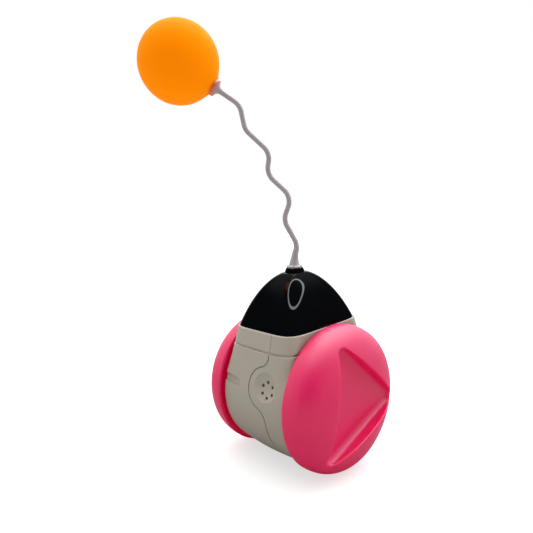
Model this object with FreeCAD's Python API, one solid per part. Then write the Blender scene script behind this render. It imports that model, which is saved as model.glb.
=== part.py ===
import FreeCAD, Part
import math
import os

# Wobble pet toy: a weighted drum body that hangs on a fixed axle between two big
# domed wheels, with a glossy hood and a springy wand that carries a light ball.
# Millimetres and degrees. The frame stands on the floor midway between the wheels:
# +X runs along the axle, -Y is the sound-hole side, +Z is up.

V = FreeCAD.Vector
DOWN_AXIS = V(0, 0, -1)
X_AXIS = V(1, 0, 0)
Y_AXIS = V(0, 1, 0)
Z_AXIS = V(0, 0, 1)
CENTRE = V(0, 0, 0)

# Wheels
wheel_radius = 36.0
wheel_side_gap = 1.55
ground_clearance = 1.1
wheel_rim_chamfer = 0.45
wheel_dome_height = 18.2
wheel_dome_power = 2.67
wheel_wall = 2.0
pocket_apothem = 17.3
pocket_corner = 3.6
pocket_wall_flare = 0.35
pocket_depth = 7.9
pocket_floor_fillet = 3.0
pocket_turn = -8.2
disc_recess = 2.2
disc_thickness = 1.8
disc_seat_wall = 1.7
disc_clearance = 0.05
hub_radius = 5.4
hub_proud = 0.2
hub_length = 4.9
bush_wall = 1.1
bush_flange_radius = 4.6
bush_flange_thickness = 0.6
disc_screw_inset = 12.5
disc_screw_head_radius = 1.9
disc_screw_head_height = 1.2
disc_screw_radius = 0.9
disc_screw_length = 5.0
disc_boss_radius = 2.6

# Axle and what holds the wheels on it
axle_radius = 2.0
axle_running_gap = 0.05
axle_fit_gap = 0.02
end_play = 0.3
thrust_washer_radius = 4.8
thrust_washer_thickness = 0.5
end_washer_radius = 3.8
end_washer_thickness = 0.5
end_screw_radius = 1.2
end_screw_length = 8.0
end_screw_head_radius = 2.6
end_screw_head_height = 1.7

# Body: a drum about the axle whose sides run straight up to a rounded square mouth
body_lean = 4.1
body_half_width = 20.9
body_plan_overrun = 0.6
mouth_inset = 7.8
body_plan_power = 5.2
drum_crown = 1.4
body_wall = 1.8
body_edge_round = 0.8
collar_height = 8.9
collar_inset = 0.3
collar_groove_height = 1.1
collar_groove_depth = 0.75
collar_ledge_round = 0.3
collar_top_round = 0.5
axle_boss_radius = 5.0
axle_boss_proud = 0.3
axle_boss_depth = 7.0

# Parting line between the two shells, seen from the front
parting_inset = 11.3
parting_top_shift = 0.4
parting_bulge_shift = 1.0
parting_bulge_z = 10.3
parting_bulge_radius = 10.1
parting_upper_bend = 4.5
parting_lower_bend = 7.0
parting_gap = 0.6
parting_gap_depth = 0.6
collar_parting_gap = 0.25

# Sound opening on the front of the right shell
sound_shift = 0.4
sound_angle = 17.2
sound_dish_radius = 7.0
sound_dish_depth = 1.5
sound_hole_radius = 0.85
sound_hole_ring = 3.6
sound_hole_count = 6
sound_hole_turn = 35.0
speaker_radius = 6.9
speaker_depth = 4.0
speaker_seat_wall = 1.1
speaker_seat_floor = 2.4
speaker_gasket = 0.9
speaker_clearance = 0.1

# Slot on the front of the left shell
slot_z = 9.4
slot_height = 4.1
slot_inset = 12.7
slot_depth = 1.0

# Posts and screws that join the shells
post_radius = 3.0
post_low_inset = 7.9
post_low_drop = 6.0
post_high_inset = 8.8
post_gap = 0.4
shell_screw_radius = 1.1
shell_screw_length = 15.0
shell_screw_head_radius = 2.1
shell_screw_head_height = 1.5
shell_screw_seat = 3.0

# Counterweight
weight_height = 15.4
weight_clearance = 2.3
weight_side_gap = 5.3
weight_chamfer = 0.8
weight_shift = 0.7
weight_screw_y = 11.0
weight_screw_lift = 9.4
weight_screw_length = 12.0
weight_boss_radius = 3.6

# Sound module
case_side_gap = 7.9
case_length = 28.0
case_half_y = 8.5
case_bottom = 6.5
case_height = 17.5
case_wall = 1.3
case_ear_reach = 6.0
case_ear_height = 7.0
case_ear_thickness = 2.0
case_ear_middle = 15.0
lid_thickness = 1.4
lid_lip = 1.0
board_thickness = 1.0
board_clearance = 0.3
board_below_lid = 3.0
chip_length = 7.0
chip_width = 6.0
chip_height = 1.4
capacitor_radius = 1.6
capacitor_height = 1.6
capacitor_shift = 9.0
resistor_length = 2.0
resistor_width = 1.2
resistor_height = 0.7
resistor_pitch = 3.0
resistor_shift = 5.0
cell_radius = 5.8
cell_rim_width = 0.9
cell_thickness = 5.4
cell_inset = 3.8
contact_thickness = 0.4
contact_width = 6.0
module_screw_radius = 1.0
module_screw_length = 7.0
module_screw_head_radius = 1.9
module_screw_head_height = 1.4
switch_radius = 2.1
switch_height = 9.0
switch_inset = 4.0
switch_clearance = 1.5
lead_radius = 0.45
lead_spread = 2.4
lead_bend = 3.0

# Hood over the body and the soft grommet in its neck
hood_inset = 1.5
hood_side_inset = 0.4
hood_rise = 26.2
hood_profile_power = 2.25
hood_rise_power = 1.07
hood_plan_power = 6.0
hood_neck_power = 3.0
hood_wall = 1.7
hood_crown_wall = 2.8
hood_neck_drop = 1.0
hood_base_ledge = 1.5
skirt_depth = 4.3
skirt_wall = 1.4
skirt_gap = 0.2
skirt_lug_reach = 0.7
skirt_lug_half_length = 9.0
skirt_lug_height = 1.2
neck_boss_radius = 5.0
neck_boss_height = 2.7
grommet_base_radius = 5.05
grommet_top_radius = 4.4
grommet_height = 2.2
grommet_sleeve_radius = 2.7
grommet_flange_radius = 3.9
grommet_flange_thickness = 1.0

# Wand: a flared foot that turns in the grommet, and a wavy rod with a flared tip
wand_heading = 48.4
wand_radius = 1.22
foot_gap = 0.1
foot_radius = 4.2
foot_height = 6.9
foot_tip_radius = 1.4
foot_peg_radius = 1.5
foot_peg_gap = 0.05
foot_barb_radius = 2.1
foot_barb_length = 1.4
foot_barb_gap = 0.3
flex_gap = 0.3
flex_pivot_out = -0.6
wand_bend_radius = 6.5
wand_corners = (
    (-1.8, 11.8),
    (4.3, 24.3),
    (0.6, 34.8),
    (11.6, 47.8),
    (10.3, 58.1),
    (21.4, 69.4),
    (23.1, 80.8),
)
tip_radius = 4.2
tip_rim = 1.3
tip_length = 3.6
tip_spigot_radius = 1.5
tip_spigot_length = 4.0

# Ball shaped like a small balloon
ball_radius = 19.7
ball_wall = 0.6
ball_centre_out = 51.8
ball_centre_up = 102.6
ball_mouth_radius = 3.5
ball_cone_angle = 60.0

# Values that follow from the dimensions above
far = 3.0 * wheel_radius
drum_radius = wheel_radius - ground_clearance
body_top = drum_radius
body_plan_half_x = body_half_width + body_plan_overrun
body_plan_half_y = drum_radius - mouth_inset
collar_bottom = body_top - collar_height
wheel_inner_plane = body_half_width + wheel_side_gap
disc_screw_ring = wheel_radius - disc_screw_inset
parting_x = body_half_width - parting_inset
parting_top_x = parting_x - parting_top_shift
parting_bulge_x = parting_x - parting_bulge_shift
sound_x = parting_x + sound_shift
slot_end_x = slot_inset - body_half_width
post_low_y = drum_radius - post_low_inset
post_high_y = body_plan_half_y - post_high_inset
post_places = (
    (-post_low_y, -post_low_drop),
    (post_low_y, -post_low_drop),
    (-post_high_y, collar_bottom),
    (post_high_y, collar_bottom),
)
weight_radius = drum_radius - drum_crown - body_wall - weight_clearance
weight_top = weight_height - weight_radius
weight_half_width = body_half_width - weight_side_gap
weight_screw_z = weight_screw_lift - weight_radius
case_left = case_side_gap - body_half_width
case_right = case_left + case_length
cell_left = case_left + cell_inset
switch_x = case_right - switch_inset
cell_room = switch_x - switch_radius - switch_clearance - contact_thickness - cell_left
cell_count = int(cell_room / cell_thickness + 0.001)
hood_apex = body_top + hood_rise
hood_neck_z = hood_apex - hood_neck_drop
neck_boss_bottom = hood_neck_z - neck_boss_height
skirt_bottom = body_top - skirt_depth
rim_edge = wheel_inner_plane + wheel_rim_chamfer
wheel_crown_x = rim_edge + wheel_dome_height
pocket_floor_x = wheel_crown_x - pocket_depth
disc_inner_x = wheel_inner_plane + disc_recess
disc_outer_x = disc_inner_x + disc_thickness
disc_seat_radius = wheel_radius - disc_seat_wall
bush_bore = axle_radius + axle_running_gap
bush_radius = bush_bore + bush_wall
boss_face = body_half_width + axle_boss_proud
washer_face = boss_face + thrust_washer_thickness
bush_face = washer_face + end_play
hub_face = bush_face + bush_flange_thickness
hub_end = hub_face + hub_length
axle_end = hub_end + end_play
end_washer_face = axle_end + end_washer_thickness
hood_half_x = body_half_width - hood_side_inset
hood_half_y = body_plan_half_y - hood_inset
inner_half_width = body_half_width - body_wall
neck_top = hood_neck_z + grommet_height
flex_pivot_up = foot_height + flex_gap + wand_radius
case_top = case_bottom + case_height
cell_middle_z = case_bottom + case_wall + 0.2 + cell_radius


def point_x(x, radius):
    return V(x, radius, 0)


def superellipse(share, power):
    return max(0.0, 1.0 - abs(share) ** power) ** (1.0 / power)


def closed_face(edges):
    return Part.Face(Part.Wire(Part.__sortEdges__(edges)))


def chain(points):
    return [Part.makeLine(a, b) for a, b in zip(points[:-1], points[1:])]


def turned_about_x(edges):
    return closed_face(edges).revolve(CENTRE, X_AXIS, 360)


def turned_about_z(points):
    face = Part.Face(Part.makePolygon(points + [points[0]]))
    return face.revolve(CENTRE, Z_AXIS, 360)


def rod_x(x_from, x_to, radius, y=0.0, z=0.0):
    return Part.makeCylinder(radius, x_to - x_from, V(x_from, y, z), X_AXIS)


def rod_z(z_from, z_to, radius, x=0.0, y=0.0):
    return Part.makeCylinder(radius, z_to - z_from, V(x, y, z_from), Z_AXIS)


def block(x_from, x_to, y_from, y_to, z_from, z_to):
    return Part.makeBox(x_to - x_from, y_to - y_from, z_to - z_from, V(x_from, y_from, z_from))


def mirrored(shape):
    return shape.mirror(CENTRE, X_AXIS)


def joined(shapes):
    whole = shapes[0].multiFuse(shapes[1:]) if len(shapes) > 1 else shapes[0]
    return whole.removeSplitter()


def screw_x(head_x, inward, head_radius, head_height, radius, length, y=0.0, z=0.0):
    # The head's seat lies at head_x and the shank runs from it along inward (+1 or -1)
    direction = V(inward, 0, 0)
    seat = V(head_x, y, z)
    head = Part.makeCylinder(head_radius, head_height, seat, direction * -1)
    shank = Part.makeCylinder(radius, length, seat, direction)
    recess = Part.makeCylinder(head_radius * 0.45, head_height * 0.5,
                               seat - direction * head_height, direction)
    return head.fuse(shank).cut(recess)


# Wheels


def wheel_dome_edges(radius, height, start_x):
    # A dome outline from the rim (start_x, radius) to the crown on the axis
    steps = 16
    points = []
    for index in range(steps + 1):
        angle = math.pi / 2.0 * index / steps
        x = start_x + height * math.sin(angle) ** (2.0 / wheel_dome_power)
        r = radius * math.cos(angle) ** (2.0 / wheel_dome_power) if index < steps else 0.0
        points.append(V(x, r, 0))
    curve = Part.BSplineCurve()
    curve.interpolate(Points=points, InitialTangent=V(1, 0, 0), FinalTangent=V(0, -1, 0))
    return [curve.toShape()]


def wheel_outside():
    rim = point_x(wheel_inner_plane, wheel_radius - wheel_rim_chamfer)
    edges = wheel_dome_edges(wheel_radius, wheel_dome_height, rim_edge)
    edges += chain([point_x(wheel_crown_x, 0), point_x(wheel_inner_plane, 0), rim,
                    point_x(rim_edge, wheel_radius)])
    return turned_about_x(edges)


def wheel_inside():
    radius = wheel_radius - wheel_wall
    height = wheel_dome_height - wheel_wall
    edges = wheel_dome_edges(radius, height, rim_edge)
    edges += chain([point_x(rim_edge + height, 0), point_x(wheel_inner_plane - 1.0, 0),
                    point_x(wheel_inner_plane - 1.0, radius), point_x(rim_edge, radius)])
    return turned_about_x(edges)


def rounded_triangle(x, apothem, corner):
    # Three sides at the given distance from the axle, with rounded corners
    edges = []
    corner_distance = 2.0 * (apothem - corner)
    for index in range(3):
        middle = math.radians(pocket_turn + 120.0 * index)
        centre = V(x, corner_distance * math.cos(middle), corner_distance * math.sin(middle))
        ends = []
        for share in (-60.0, 0.0, 60.0):
            angle = middle + math.radians(share)
            ends.append(centre + V(0, corner * math.cos(angle), corner * math.sin(angle)))
        edges.append((ends, Part.Arc(*ends).toShape()))
    parts = []
    for index in range(3):
        parts.append(edges[index][1])
        parts.append(Part.makeLine(edges[index][0][2], edges[(index + 1) % 3][0][0]))
    return Part.Wire(parts)


def pocket(grow, deeper, fillet):
    floor_x = pocket_floor_x - deeper
    rise = wheel_crown_x + 2.0 - floor_x
    spread = pocket_wall_flare * rise / pocket_depth
    low = rounded_triangle(floor_x, pocket_apothem + grow - pocket_wall_flare, pocket_corner + grow)
    high = rounded_triangle(floor_x + rise, pocket_apothem + grow - pocket_wall_flare + spread,
                            pocket_corner + grow + spread)
    solid = Part.makeLoft([low, high], True, True)
    floor_edges = [edge for edge in solid.Edges
                   if edge.BoundBox.XMax < floor_x + 0.01]
    return solid.makeFillet(fillet, floor_edges)


def disc_screw_places():
    places = []
    for index in range(3):
        angle = math.radians(pocket_turn + 120.0 * index)
        places.append((disc_screw_ring * math.cos(angle), disc_screw_ring * math.sin(angle)))
    return places


def wheel_cap():
    hollow = wheel_inside().cut(pocket(wheel_wall, wheel_wall, pocket_floor_fillet))
    for y, z in disc_screw_places():
        hollow = hollow.cut(rod_x(disc_outer_x, wheel_crown_x, disc_boss_radius, y, z))
    cap = wheel_outside().cut(pocket(0.0, 0.0, pocket_floor_fillet)).cut(hollow)
    cap = cap.cut(rod_x(wheel_inner_plane - 1.0, disc_outer_x, disc_seat_radius))
    for y, z in disc_screw_places():
        cap = cap.cut(rod_x(disc_inner_x, disc_inner_x + disc_screw_length, disc_screw_radius, y, z))
    return cap


def wheel_disc():
    plate = rod_x(disc_inner_x, disc_outer_x, disc_seat_radius - disc_clearance)
    hub = rod_x(hub_face, hub_end, hub_radius)
    disc = joined([plate, hub]).cut(rod_x(hub_face - 1.0, hub_end + 1.0, bush_radius))
    for y, z in disc_screw_places():
        disc = disc.cut(rod_x(disc_inner_x - 1.0, disc_outer_x + 1.0, disc_screw_radius, y, z))
    return disc


def wheel_bush():
    flange = rod_x(bush_face, hub_face, bush_flange_radius)
    barrel = rod_x(hub_face, hub_end, bush_radius)
    return joined([flange, barrel]).cut(rod_x(bush_face - 1.0, hub_end + 1.0, bush_bore))


def disc_screws():
    screws = []
    for y, z in disc_screw_places():
        screws.append(screw_x(disc_inner_x, 1, disc_screw_head_radius, disc_screw_head_height,
                              disc_screw_radius, disc_screw_length - 0.3, y, z))
    return Part.Compound(screws)


# Axle


def axle():
    rod = rod_x(-axle_end, axle_end, axle_radius)
    for sign in (-1, 1):
        hole = Part.makeCylinder(end_screw_radius, end_screw_length,
                                 V(sign * axle_end, 0, 0), V(-sign, 0, 0))
        rod = rod.cut(hole)
    return rod


def thrust_washers():
    ring = rod_x(boss_face, washer_face, thrust_washer_radius)
    ring = ring.cut(rod_x(boss_face - 1.0, washer_face + 1.0, axle_radius + axle_fit_gap))
    return Part.Compound([mirrored(ring), ring])


def end_washers():
    ring = rod_x(axle_end, end_washer_face, end_washer_radius)
    ring = ring.cut(rod_x(axle_end - 1.0, end_washer_face + 1.0, end_screw_radius))
    return Part.Compound([mirrored(ring), ring])


def end_screws():
    screw = screw_x(end_washer_face, -1, end_screw_head_radius, end_screw_head_height,
                    end_screw_radius, end_screw_length)
    return Part.Compound([mirrored(screw), screw])


# Body shells, built upright about the axle


def side_outline(x, inset, over_top):
    # Drum arc below, straight tangents up to the mouth, at one place along the axle
    radius = drum_radius - drum_crown * (x / body_half_width) ** 2 - inset
    half_y = body_plan_half_y * superellipse(x / body_plan_half_x, body_plan_power) - inset
    reach = math.hypot(half_y, body_top)
    tangent = math.atan2(body_top, half_y) - math.acos(radius / reach)
    foot = V(x, radius * math.cos(tangent), radius * math.sin(tangent))
    rise = (body_top + over_top - foot.z) / (body_top - foot.z)
    top = V(x, foot.y + (half_y - foot.y) * rise, body_top + over_top)
    other_foot = V(x, -foot.y, foot.z)
    other_top = V(x, -top.y, top.z)
    arc = Part.Arc(foot, V(x, 0, -radius), other_foot).toShape()
    return Part.Wire([arc, Part.makeLine(other_foot, other_top), Part.makeLine(other_top, top),
                      Part.makeLine(top, foot)])


def body_form(inset, end_inset, over_top=0.0):
    end = body_half_width - end_inset
    shares = (1.0, 0.972, 0.93, 0.86, 0.74, 0.56, 0.3, 0.0)
    places = [-end * share for share in shares] + [end * share for share in reversed(shares[:-1])]
    return Part.makeLoft([side_outline(x, inset, over_top) for x in places], True, False)


def body_outside():
    form = body_form(0.0, 0.0)
    ends = []
    for edge in form.Edges:
        box = edge.BoundBox
        flat_end = box.XLength < 0.001 and abs(abs(box.XMin) - body_half_width) < 0.001
        if flat_end and box.ZMin < body_top - 1.0:
            ends.append(edge)
    form = form.makeFillet(body_edge_round, ends)
    above = block(-far, far, -far, far, collar_bottom, far)
    groove = block(-far, far, -far, far, collar_bottom, collar_bottom + collar_groove_height)
    form = form.cut(above.cut(body_form(collar_inset, 0.0)))
    form = form.cut(groove.cut(body_form(collar_groove_depth, collar_groove_depth)))
    form = form.makeFillet(collar_ledge_round, ledge_edges(form))
    return form.makeFillet(collar_top_round, top_edges(form))


def ledge_edges(form):
    # The outer edges of the ledge under the collar
    core = body_form(collar_inset, collar_inset)
    edges = []
    for edge in form.Edges:
        box = edge.BoundBox
        level = abs(box.ZMin - collar_bottom) < 0.001 and abs(box.ZMax - collar_bottom) < 0.001
        middle = edge.valueAt((edge.FirstParameter + edge.LastParameter) / 2.0)
        if level and not core.isInside(middle, 0.0001, True):
            edges.append(edge)
    return edges


def top_edges(form):
    # The edges round the flat top of the body
    edges = []
    for edge in form.Edges:
        box = edge.BoundBox
        if abs(box.ZMin - body_top) < 0.001 and abs(box.ZMax - body_top) < 0.001:
            edges.append(edge)
    return edges


def parting_region(shift):
    # Everything on the right shell's side of the parting line, moved by shift along X
    bulge_x = parting_bulge_x
    bulge = parting_bulge_radius - shift
    top_x = parting_top_x + shift
    low_x = parting_x + shift
    upper = parting_upper_bend + shift
    lower = parting_lower_bend + shift
    upper_centre_x = top_x - upper
    lower_centre_x = low_x - lower
    upper_z = parting_bulge_z + math.sqrt((upper + bulge) ** 2 - (bulge_x - upper_centre_x) ** 2)
    lower_z = parting_bulge_z - math.sqrt((lower + bulge) ** 2 - (bulge_x - lower_centre_x) ** 2)

    def between(centre_x, centre_z, radius):
        share = radius / (radius + bulge)
        return V(centre_x + (bulge_x - centre_x) * share, -far,
                 centre_z + (parting_bulge_z - centre_z) * share)

    def on_bend(centre_x, centre_z, radius, toward):
        middle = (toward - V(centre_x, -far, centre_z)).normalize() + X_AXIS
        return V(centre_x, -far, centre_z) + middle.normalize() * radius

    upper_join = between(upper_centre_x, upper_z, upper)
    lower_join = between(lower_centre_x, lower_z, lower)
    upper_start = V(top_x, -far, upper_z)
    lower_end = V(low_x, -far, lower_z)
    edges = [
        Part.makeLine(V(top_x, -far, far), upper_start),
        Part.Arc(upper_start, on_bend(upper_centre_x, upper_z, upper, upper_join), upper_join).toShape(),
        Part.Arc(upper_join, V(bulge_x - bulge, -far, parting_bulge_z), lower_join).toShape(),
        Part.Arc(lower_join, on_bend(lower_centre_x, lower_z, lower, lower_join), lower_end).toShape(),
        Part.makeLine(lower_end, V(low_x, -far, -far)),
        Part.makeLine(V(low_x, -far, -far), V(far, -far, -far)),
        Part.makeLine(V(far, -far, -far), V(far, -far, far)),
        Part.makeLine(V(far, -far, far), V(top_x, -far, far)),
    ]
    front = Part.Face(Part.Wire(edges)).extrude(V(0, far, 0))
    return front.fuse(block(low_x, far, 0.0, far, -far, far)).removeSplitter()


def sound_frame(shape):
    # Shapes drawn along +Z from the axle are turned to face out through the front wall
    turned = shape.copy()
    turned.rotate(CENTRE, X_AXIS, 90.0 - sound_angle)
    turned.translate(V(sound_x, 0, 0))
    return turned


sound_surface = drum_radius - drum_crown * (sound_x / body_half_width) ** 2
seat_front = sound_surface - sound_dish_depth - speaker_seat_floor
gasket_back = seat_front - speaker_gasket
speaker_back = gasket_back - speaker_depth


def sound_dish():
    ball = (sound_dish_radius ** 2 + sound_dish_depth ** 2) / (2.0 * sound_dish_depth)
    centre = sound_surface - sound_dish_depth + ball
    return sound_frame(Part.makeSphere(ball, V(0, 0, centre)))


def sound_holes():
    holes = []
    for index in range(sound_hole_count):
        angle = math.radians(sound_hole_turn + 360.0 * index / sound_hole_count)
        x = sound_hole_ring * math.cos(angle)
        y = sound_hole_ring * math.sin(angle)
        holes.append(rod_z(seat_front - 2.0, sound_surface + 3.0, sound_hole_radius, x, y))
    return sound_frame(Part.Compound(holes))


def speaker_seat():
    radius = speaker_radius + speaker_clearance + speaker_seat_wall
    seat = rod_z(speaker_back, sound_surface + 1.0, radius)
    return sound_frame(seat.cut(rod_z(speaker_back - 1.0, seat_front, speaker_radius + speaker_clearance)))


def post(x_from, x_to, place):
    return rod_x(x_from, x_to, post_radius, place[0], place[1])


def axle_boss(sign):
    boss = rod_x(inner_half_width - axle_boss_depth, boss_face, axle_boss_radius)
    return boss if sign > 0 else mirrored(boss)


def parting_groove(width, z_from, z_to):
    # The groove along the parting line, between two heights
    groove = parting_region(-width / 2.0).cut(parting_region(width / 2.0))
    groove = groove.common(block(-far, far, -far, far, z_from, z_to))
    return groove.cut(body_form(parting_gap_depth, parting_gap_depth))


def shell_pair():
    outside = body_outside()
    cavity = body_form(body_wall, body_wall, 1.0)
    wall = outside.cut(cavity)
    right_side = parting_region(0.0)
    wall = wall.cut(parting_groove(parting_gap, -far, collar_bottom))
    wall = wall.cut(parting_groove(collar_parting_gap, collar_bottom, far))
    post_split = parting_x
    left_posts = [post(-inner_half_width - 0.5, post_split, place) for place in post_places]
    right_posts = [post(post_split + post_gap, inner_half_width + 0.5, place) for place in post_places]
    weight_bosses = []
    for sign in (-1, 1):
        weight_bosses.append(rod_x(-inner_half_width - 0.5, -weight_half_width, weight_boss_radius,
                                   sign * weight_screw_y, weight_screw_z))
    module_bosses = []
    for sign in (-1, 1):
        module_bosses.append(rod_x(-inner_half_width - 0.5, case_left, case_ear_height / 2.0,
                                   sign * (case_half_y + case_ear_reach / 2.0), case_ear_middle))
    left = joined([wall.cut(right_side)] + left_posts + weight_bosses + module_bosses + [axle_boss(-1)])
    right = joined([wall.common(right_side), axle_boss(1)] + right_posts
                   + [speaker_seat().common(cavity)])
    right = right.cut(sound_dish()).cut(sound_holes())
    bore = rod_x(-axle_end, axle_end, axle_radius + axle_fit_gap)
    left = left.cut(bore)
    right = right.cut(bore)
    seat_x = body_half_width - shell_screw_seat
    for y, z in post_places:
        right = right.cut(rod_x(post_split - 1.0, body_half_width + 1.0, shell_screw_radius, y, z))
        right = right.cut(rod_x(seat_x, body_half_width + 1.0, shell_screw_head_radius + 0.2, y, z))
        left = left.cut(rod_x(seat_x - shell_screw_length, post_split + 1.0, shell_screw_radius, y, z))
    for sign in (-1, 1):
        y = sign * weight_screw_y
        left = left.cut(rod_x(-body_half_width - 1.0, -weight_half_width, shell_screw_radius,
                              y, weight_screw_z))
        left = left.cut(rod_x(-body_half_width - 1.0, -body_half_width + shell_screw_seat,
                              shell_screw_head_radius + 0.2, y, weight_screw_z))
        y = sign * (case_half_y + case_ear_reach / 2.0)
        left = left.cut(rod_x(case_left - module_screw_length + case_ear_thickness, case_left + 1.0,
                              module_screw_radius, y, case_ear_middle))
    return left.cut(slot_recess()), right


def slot_recess():
    end = slot_end_x - slot_height / 2.0
    reach = block(-far, end, -far, 0.0, slot_z - slot_height / 2.0, slot_z + slot_height / 2.0)
    tip = Part.makeCylinder(slot_height / 2.0, far, V(end, -far, slot_z), Y_AXIS)
    return joined([reach, tip]).cut(body_form(slot_depth, 0.0))


def shell_screws():
    seat_x = body_half_width - shell_screw_seat
    screws = []
    for y, z in post_places:
        screws.append(screw_x(seat_x, -1, shell_screw_head_radius, shell_screw_head_height,
                              shell_screw_radius, shell_screw_length, y, z))
    return Part.Compound(screws)


# Weight


def counterweight():
    block_x = weight_half_width
    weight = rod_x(-block_x, block_x, weight_radius)
    weight = weight.common(block(-block_x, block_x, -weight_radius, weight_radius,
                                 -weight_radius, weight_top))
    edges = [edge for edge in weight.Edges if edge.BoundBox.XLength < 0.001]
    weight = weight.makeChamfer(weight_chamfer, edges)
    weight.translate(V(0, weight_shift, 0))
    for sign in (-1, 1):
        weight = weight.cut(rod_x(-block_x - 1.0, -block_x + weight_screw_length, shell_screw_radius,
                                  sign * weight_screw_y, weight_screw_z))
    return weight


def weight_screws():
    seat_x = -body_half_width + shell_screw_seat
    length = body_half_width - shell_screw_seat - weight_half_width + weight_screw_length - 1.0
    screws = []
    for sign in (-1, 1):
        screws.append(screw_x(seat_x, 1, shell_screw_head_radius, shell_screw_head_height,
                              shell_screw_radius, length, sign * weight_screw_y, weight_screw_z))
    return Part.Compound(screws)


# Sound module


def case_board_z():
    return case_top - board_below_lid - board_thickness


def sound_case():
    shell = block(case_left, case_right, -case_half_y, case_half_y, case_bottom, case_top)
    room = block(case_left + case_wall, case_right - case_wall, -case_half_y + case_wall,
                 case_half_y - case_wall, case_bottom + case_wall, case_top + 1.0)
    case = shell.cut(room)
    ledge_half = case_half_y - case_wall - 1.0
    for sign in (-1, 1):
        y_from = min(sign * ledge_half, sign * (case_half_y - case_wall / 2.0))
        ledge = block(case_left + case_wall / 2.0, case_right - case_wall / 2.0, y_from,
                      y_from + 1.0 + case_wall / 2.0, case_board_z() - 1.5, case_board_z())
        ear_from = min(sign * (case_half_y - 0.5), sign * (case_half_y + case_ear_reach))
        ear = block(case_left, case_left + case_ear_thickness, ear_from,
                    ear_from + case_ear_reach + 0.5, case_ear_middle - case_ear_height / 2.0,
                    case_ear_middle + case_ear_height / 2.0)
        case = joined([case, ledge, ear])
        case = case.cut(rod_x(case_left - 1.0, case_left + case_ear_thickness + 1.0,
                              module_screw_radius, sign * (case_half_y + case_ear_reach / 2.0),
                              case_ear_middle))
    for sign in (-1, 1):
        hole = Part.makeCylinder(lead_radius + 0.2, case_wall + 2.0,
                                 V(sound_x + sign * lead_spread / 2.0 - 3.0, -case_half_y - 1.0,
                                   lead_entry_z()), Y_AXIS)
        case = case.cut(hole)
    return case


def sound_lid():
    plate = block(case_left, case_right, -case_half_y, case_half_y, case_top, case_top + lid_thickness)
    fit = case_wall + 0.1
    lip = block(case_left + fit, case_right - fit, -case_half_y + fit, case_half_y - fit,
                case_top - lid_lip, case_top)
    inner = fit + 1.0
    lip = lip.cut(block(case_left + inner, case_right - inner, -case_half_y + inner,
                        case_half_y - inner, case_top - lid_lip - 1.0, case_top))
    return joined([plate, lip])


def circuit_board():
    gap = case_wall + board_clearance
    z = case_board_z()
    return block(case_left + gap, case_right - gap, -case_half_y + gap, case_half_y - gap,
                 z, z + board_thickness)


def board_parts():
    z = case_board_z() + board_thickness
    middle = (case_left + case_right) / 2.0
    chip = block(middle - chip_length * 0.7, middle + chip_length * 0.3, -chip_width / 2.0,
                 chip_width / 2.0, z, z + chip_height)
    can = rod_z(z, z + capacitor_height, capacitor_radius, middle - capacitor_shift,
                chip_width * 0.4)
    resistors = []
    for row in (-1, 0, 1):
        x = middle + resistor_shift
        y = row * resistor_pitch - resistor_width / 2.0
        resistors.append(block(x, x + resistor_length, y, y + resistor_width, z, z + resistor_height))
    return Part.Compound([chip, can] + resistors)


def button_cells():
    cells = []
    for index in range(cell_count):
        x = cell_left + index * cell_thickness
        cell = rod_x(x, x + cell_thickness, cell_radius, 0.0, cell_middle_z)
        rim = rod_x(x, x + cell_rim_width, cell_radius + 1.0, 0.0, cell_middle_z)
        rim = rim.cut(rod_x(x - 1.0, x + cell_thickness, cell_radius - cell_rim_width,
                            0.0, cell_middle_z))
        cells.append(cell.cut(rim))
    return Part.Compound(cells)


def cell_contacts():
    low = case_bottom + case_wall
    high = case_board_z()
    contacts = []
    for x in (cell_left - contact_thickness, cell_left + cell_count * cell_thickness):
        contacts.append(block(x, x + contact_thickness, -contact_width / 2.0,
                              contact_width / 2.0, low, high))
    return Part.Compound(contacts)


def vibration_switch():
    top = case_board_z()
    tube = rod_z(top - switch_height, top, switch_radius, switch_x)
    room = rod_z(top - switch_height + 0.5, top - 1.2, switch_radius - 0.4, switch_x)
    return tube.cut(room)


def switch_pin():
    top = case_board_z()
    return rod_z(top - switch_height + 1.6, top - 1.2, 0.35, switch_x)


def module_screws():
    screws = []
    for sign in (-1, 1):
        screws.append(screw_x(case_left + case_ear_thickness, -1, module_screw_head_radius,
                              module_screw_head_height, module_screw_radius, module_screw_length,
                              sign * (case_half_y + case_ear_reach / 2.0), case_ear_middle))
    return Part.Compound(screws)


def speaker_can():
    can = rod_z(speaker_back, gasket_back, speaker_radius)
    mouth = rod_z(gasket_back - 1.8, gasket_back + 1.0, speaker_radius - 0.7)
    return sound_frame(can.cut(mouth))


def speaker_cone():
    low = gasket_back - 1.8
    profile = [V(0, 0, low), V(speaker_radius - 0.8, 0, low), V(speaker_radius - 0.8, 0, low + 1.5),
               V(speaker_radius - 1.8, 0, low + 1.5), V(2.6, 0, low + 0.6), V(1.6, 0, low + 1.1),
               V(0, 0, low + 1.3)]
    return sound_frame(turned_about_z(profile))


def speaker_gasket_ring():
    ring = rod_z(gasket_back, seat_front, speaker_radius)
    return sound_frame(ring.cut(rod_z(gasket_back - 1.0, seat_front + 1.0, speaker_radius - 1.6)))


def lead_entry_z():
    return case_bottom + 5.0


def rounded_path(points, bend):
    # Straight runs joined by tangent arcs
    edges = []
    start = points[0]
    for before, corner, after in zip(points[:-2], points[1:-1], points[2:]):
        incoming = (corner - before).normalize()
        outgoing = (after - corner).normalize()
        turn = incoming.getAngle(outgoing)
        reach = bend * math.tan(turn / 2.0)
        first = corner - incoming * reach
        last = corner + outgoing * reach
        inward = (outgoing - incoming).normalize()
        middle = corner + inward * (bend / math.cos(turn / 2.0) - bend)
        edges.append(Part.makeLine(start, first))
        edges.append(Part.Arc(first, middle, last).toShape())
        start = last
    edges.append(Part.makeLine(start, points[-1]))
    return Part.Wire(edges)


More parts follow.
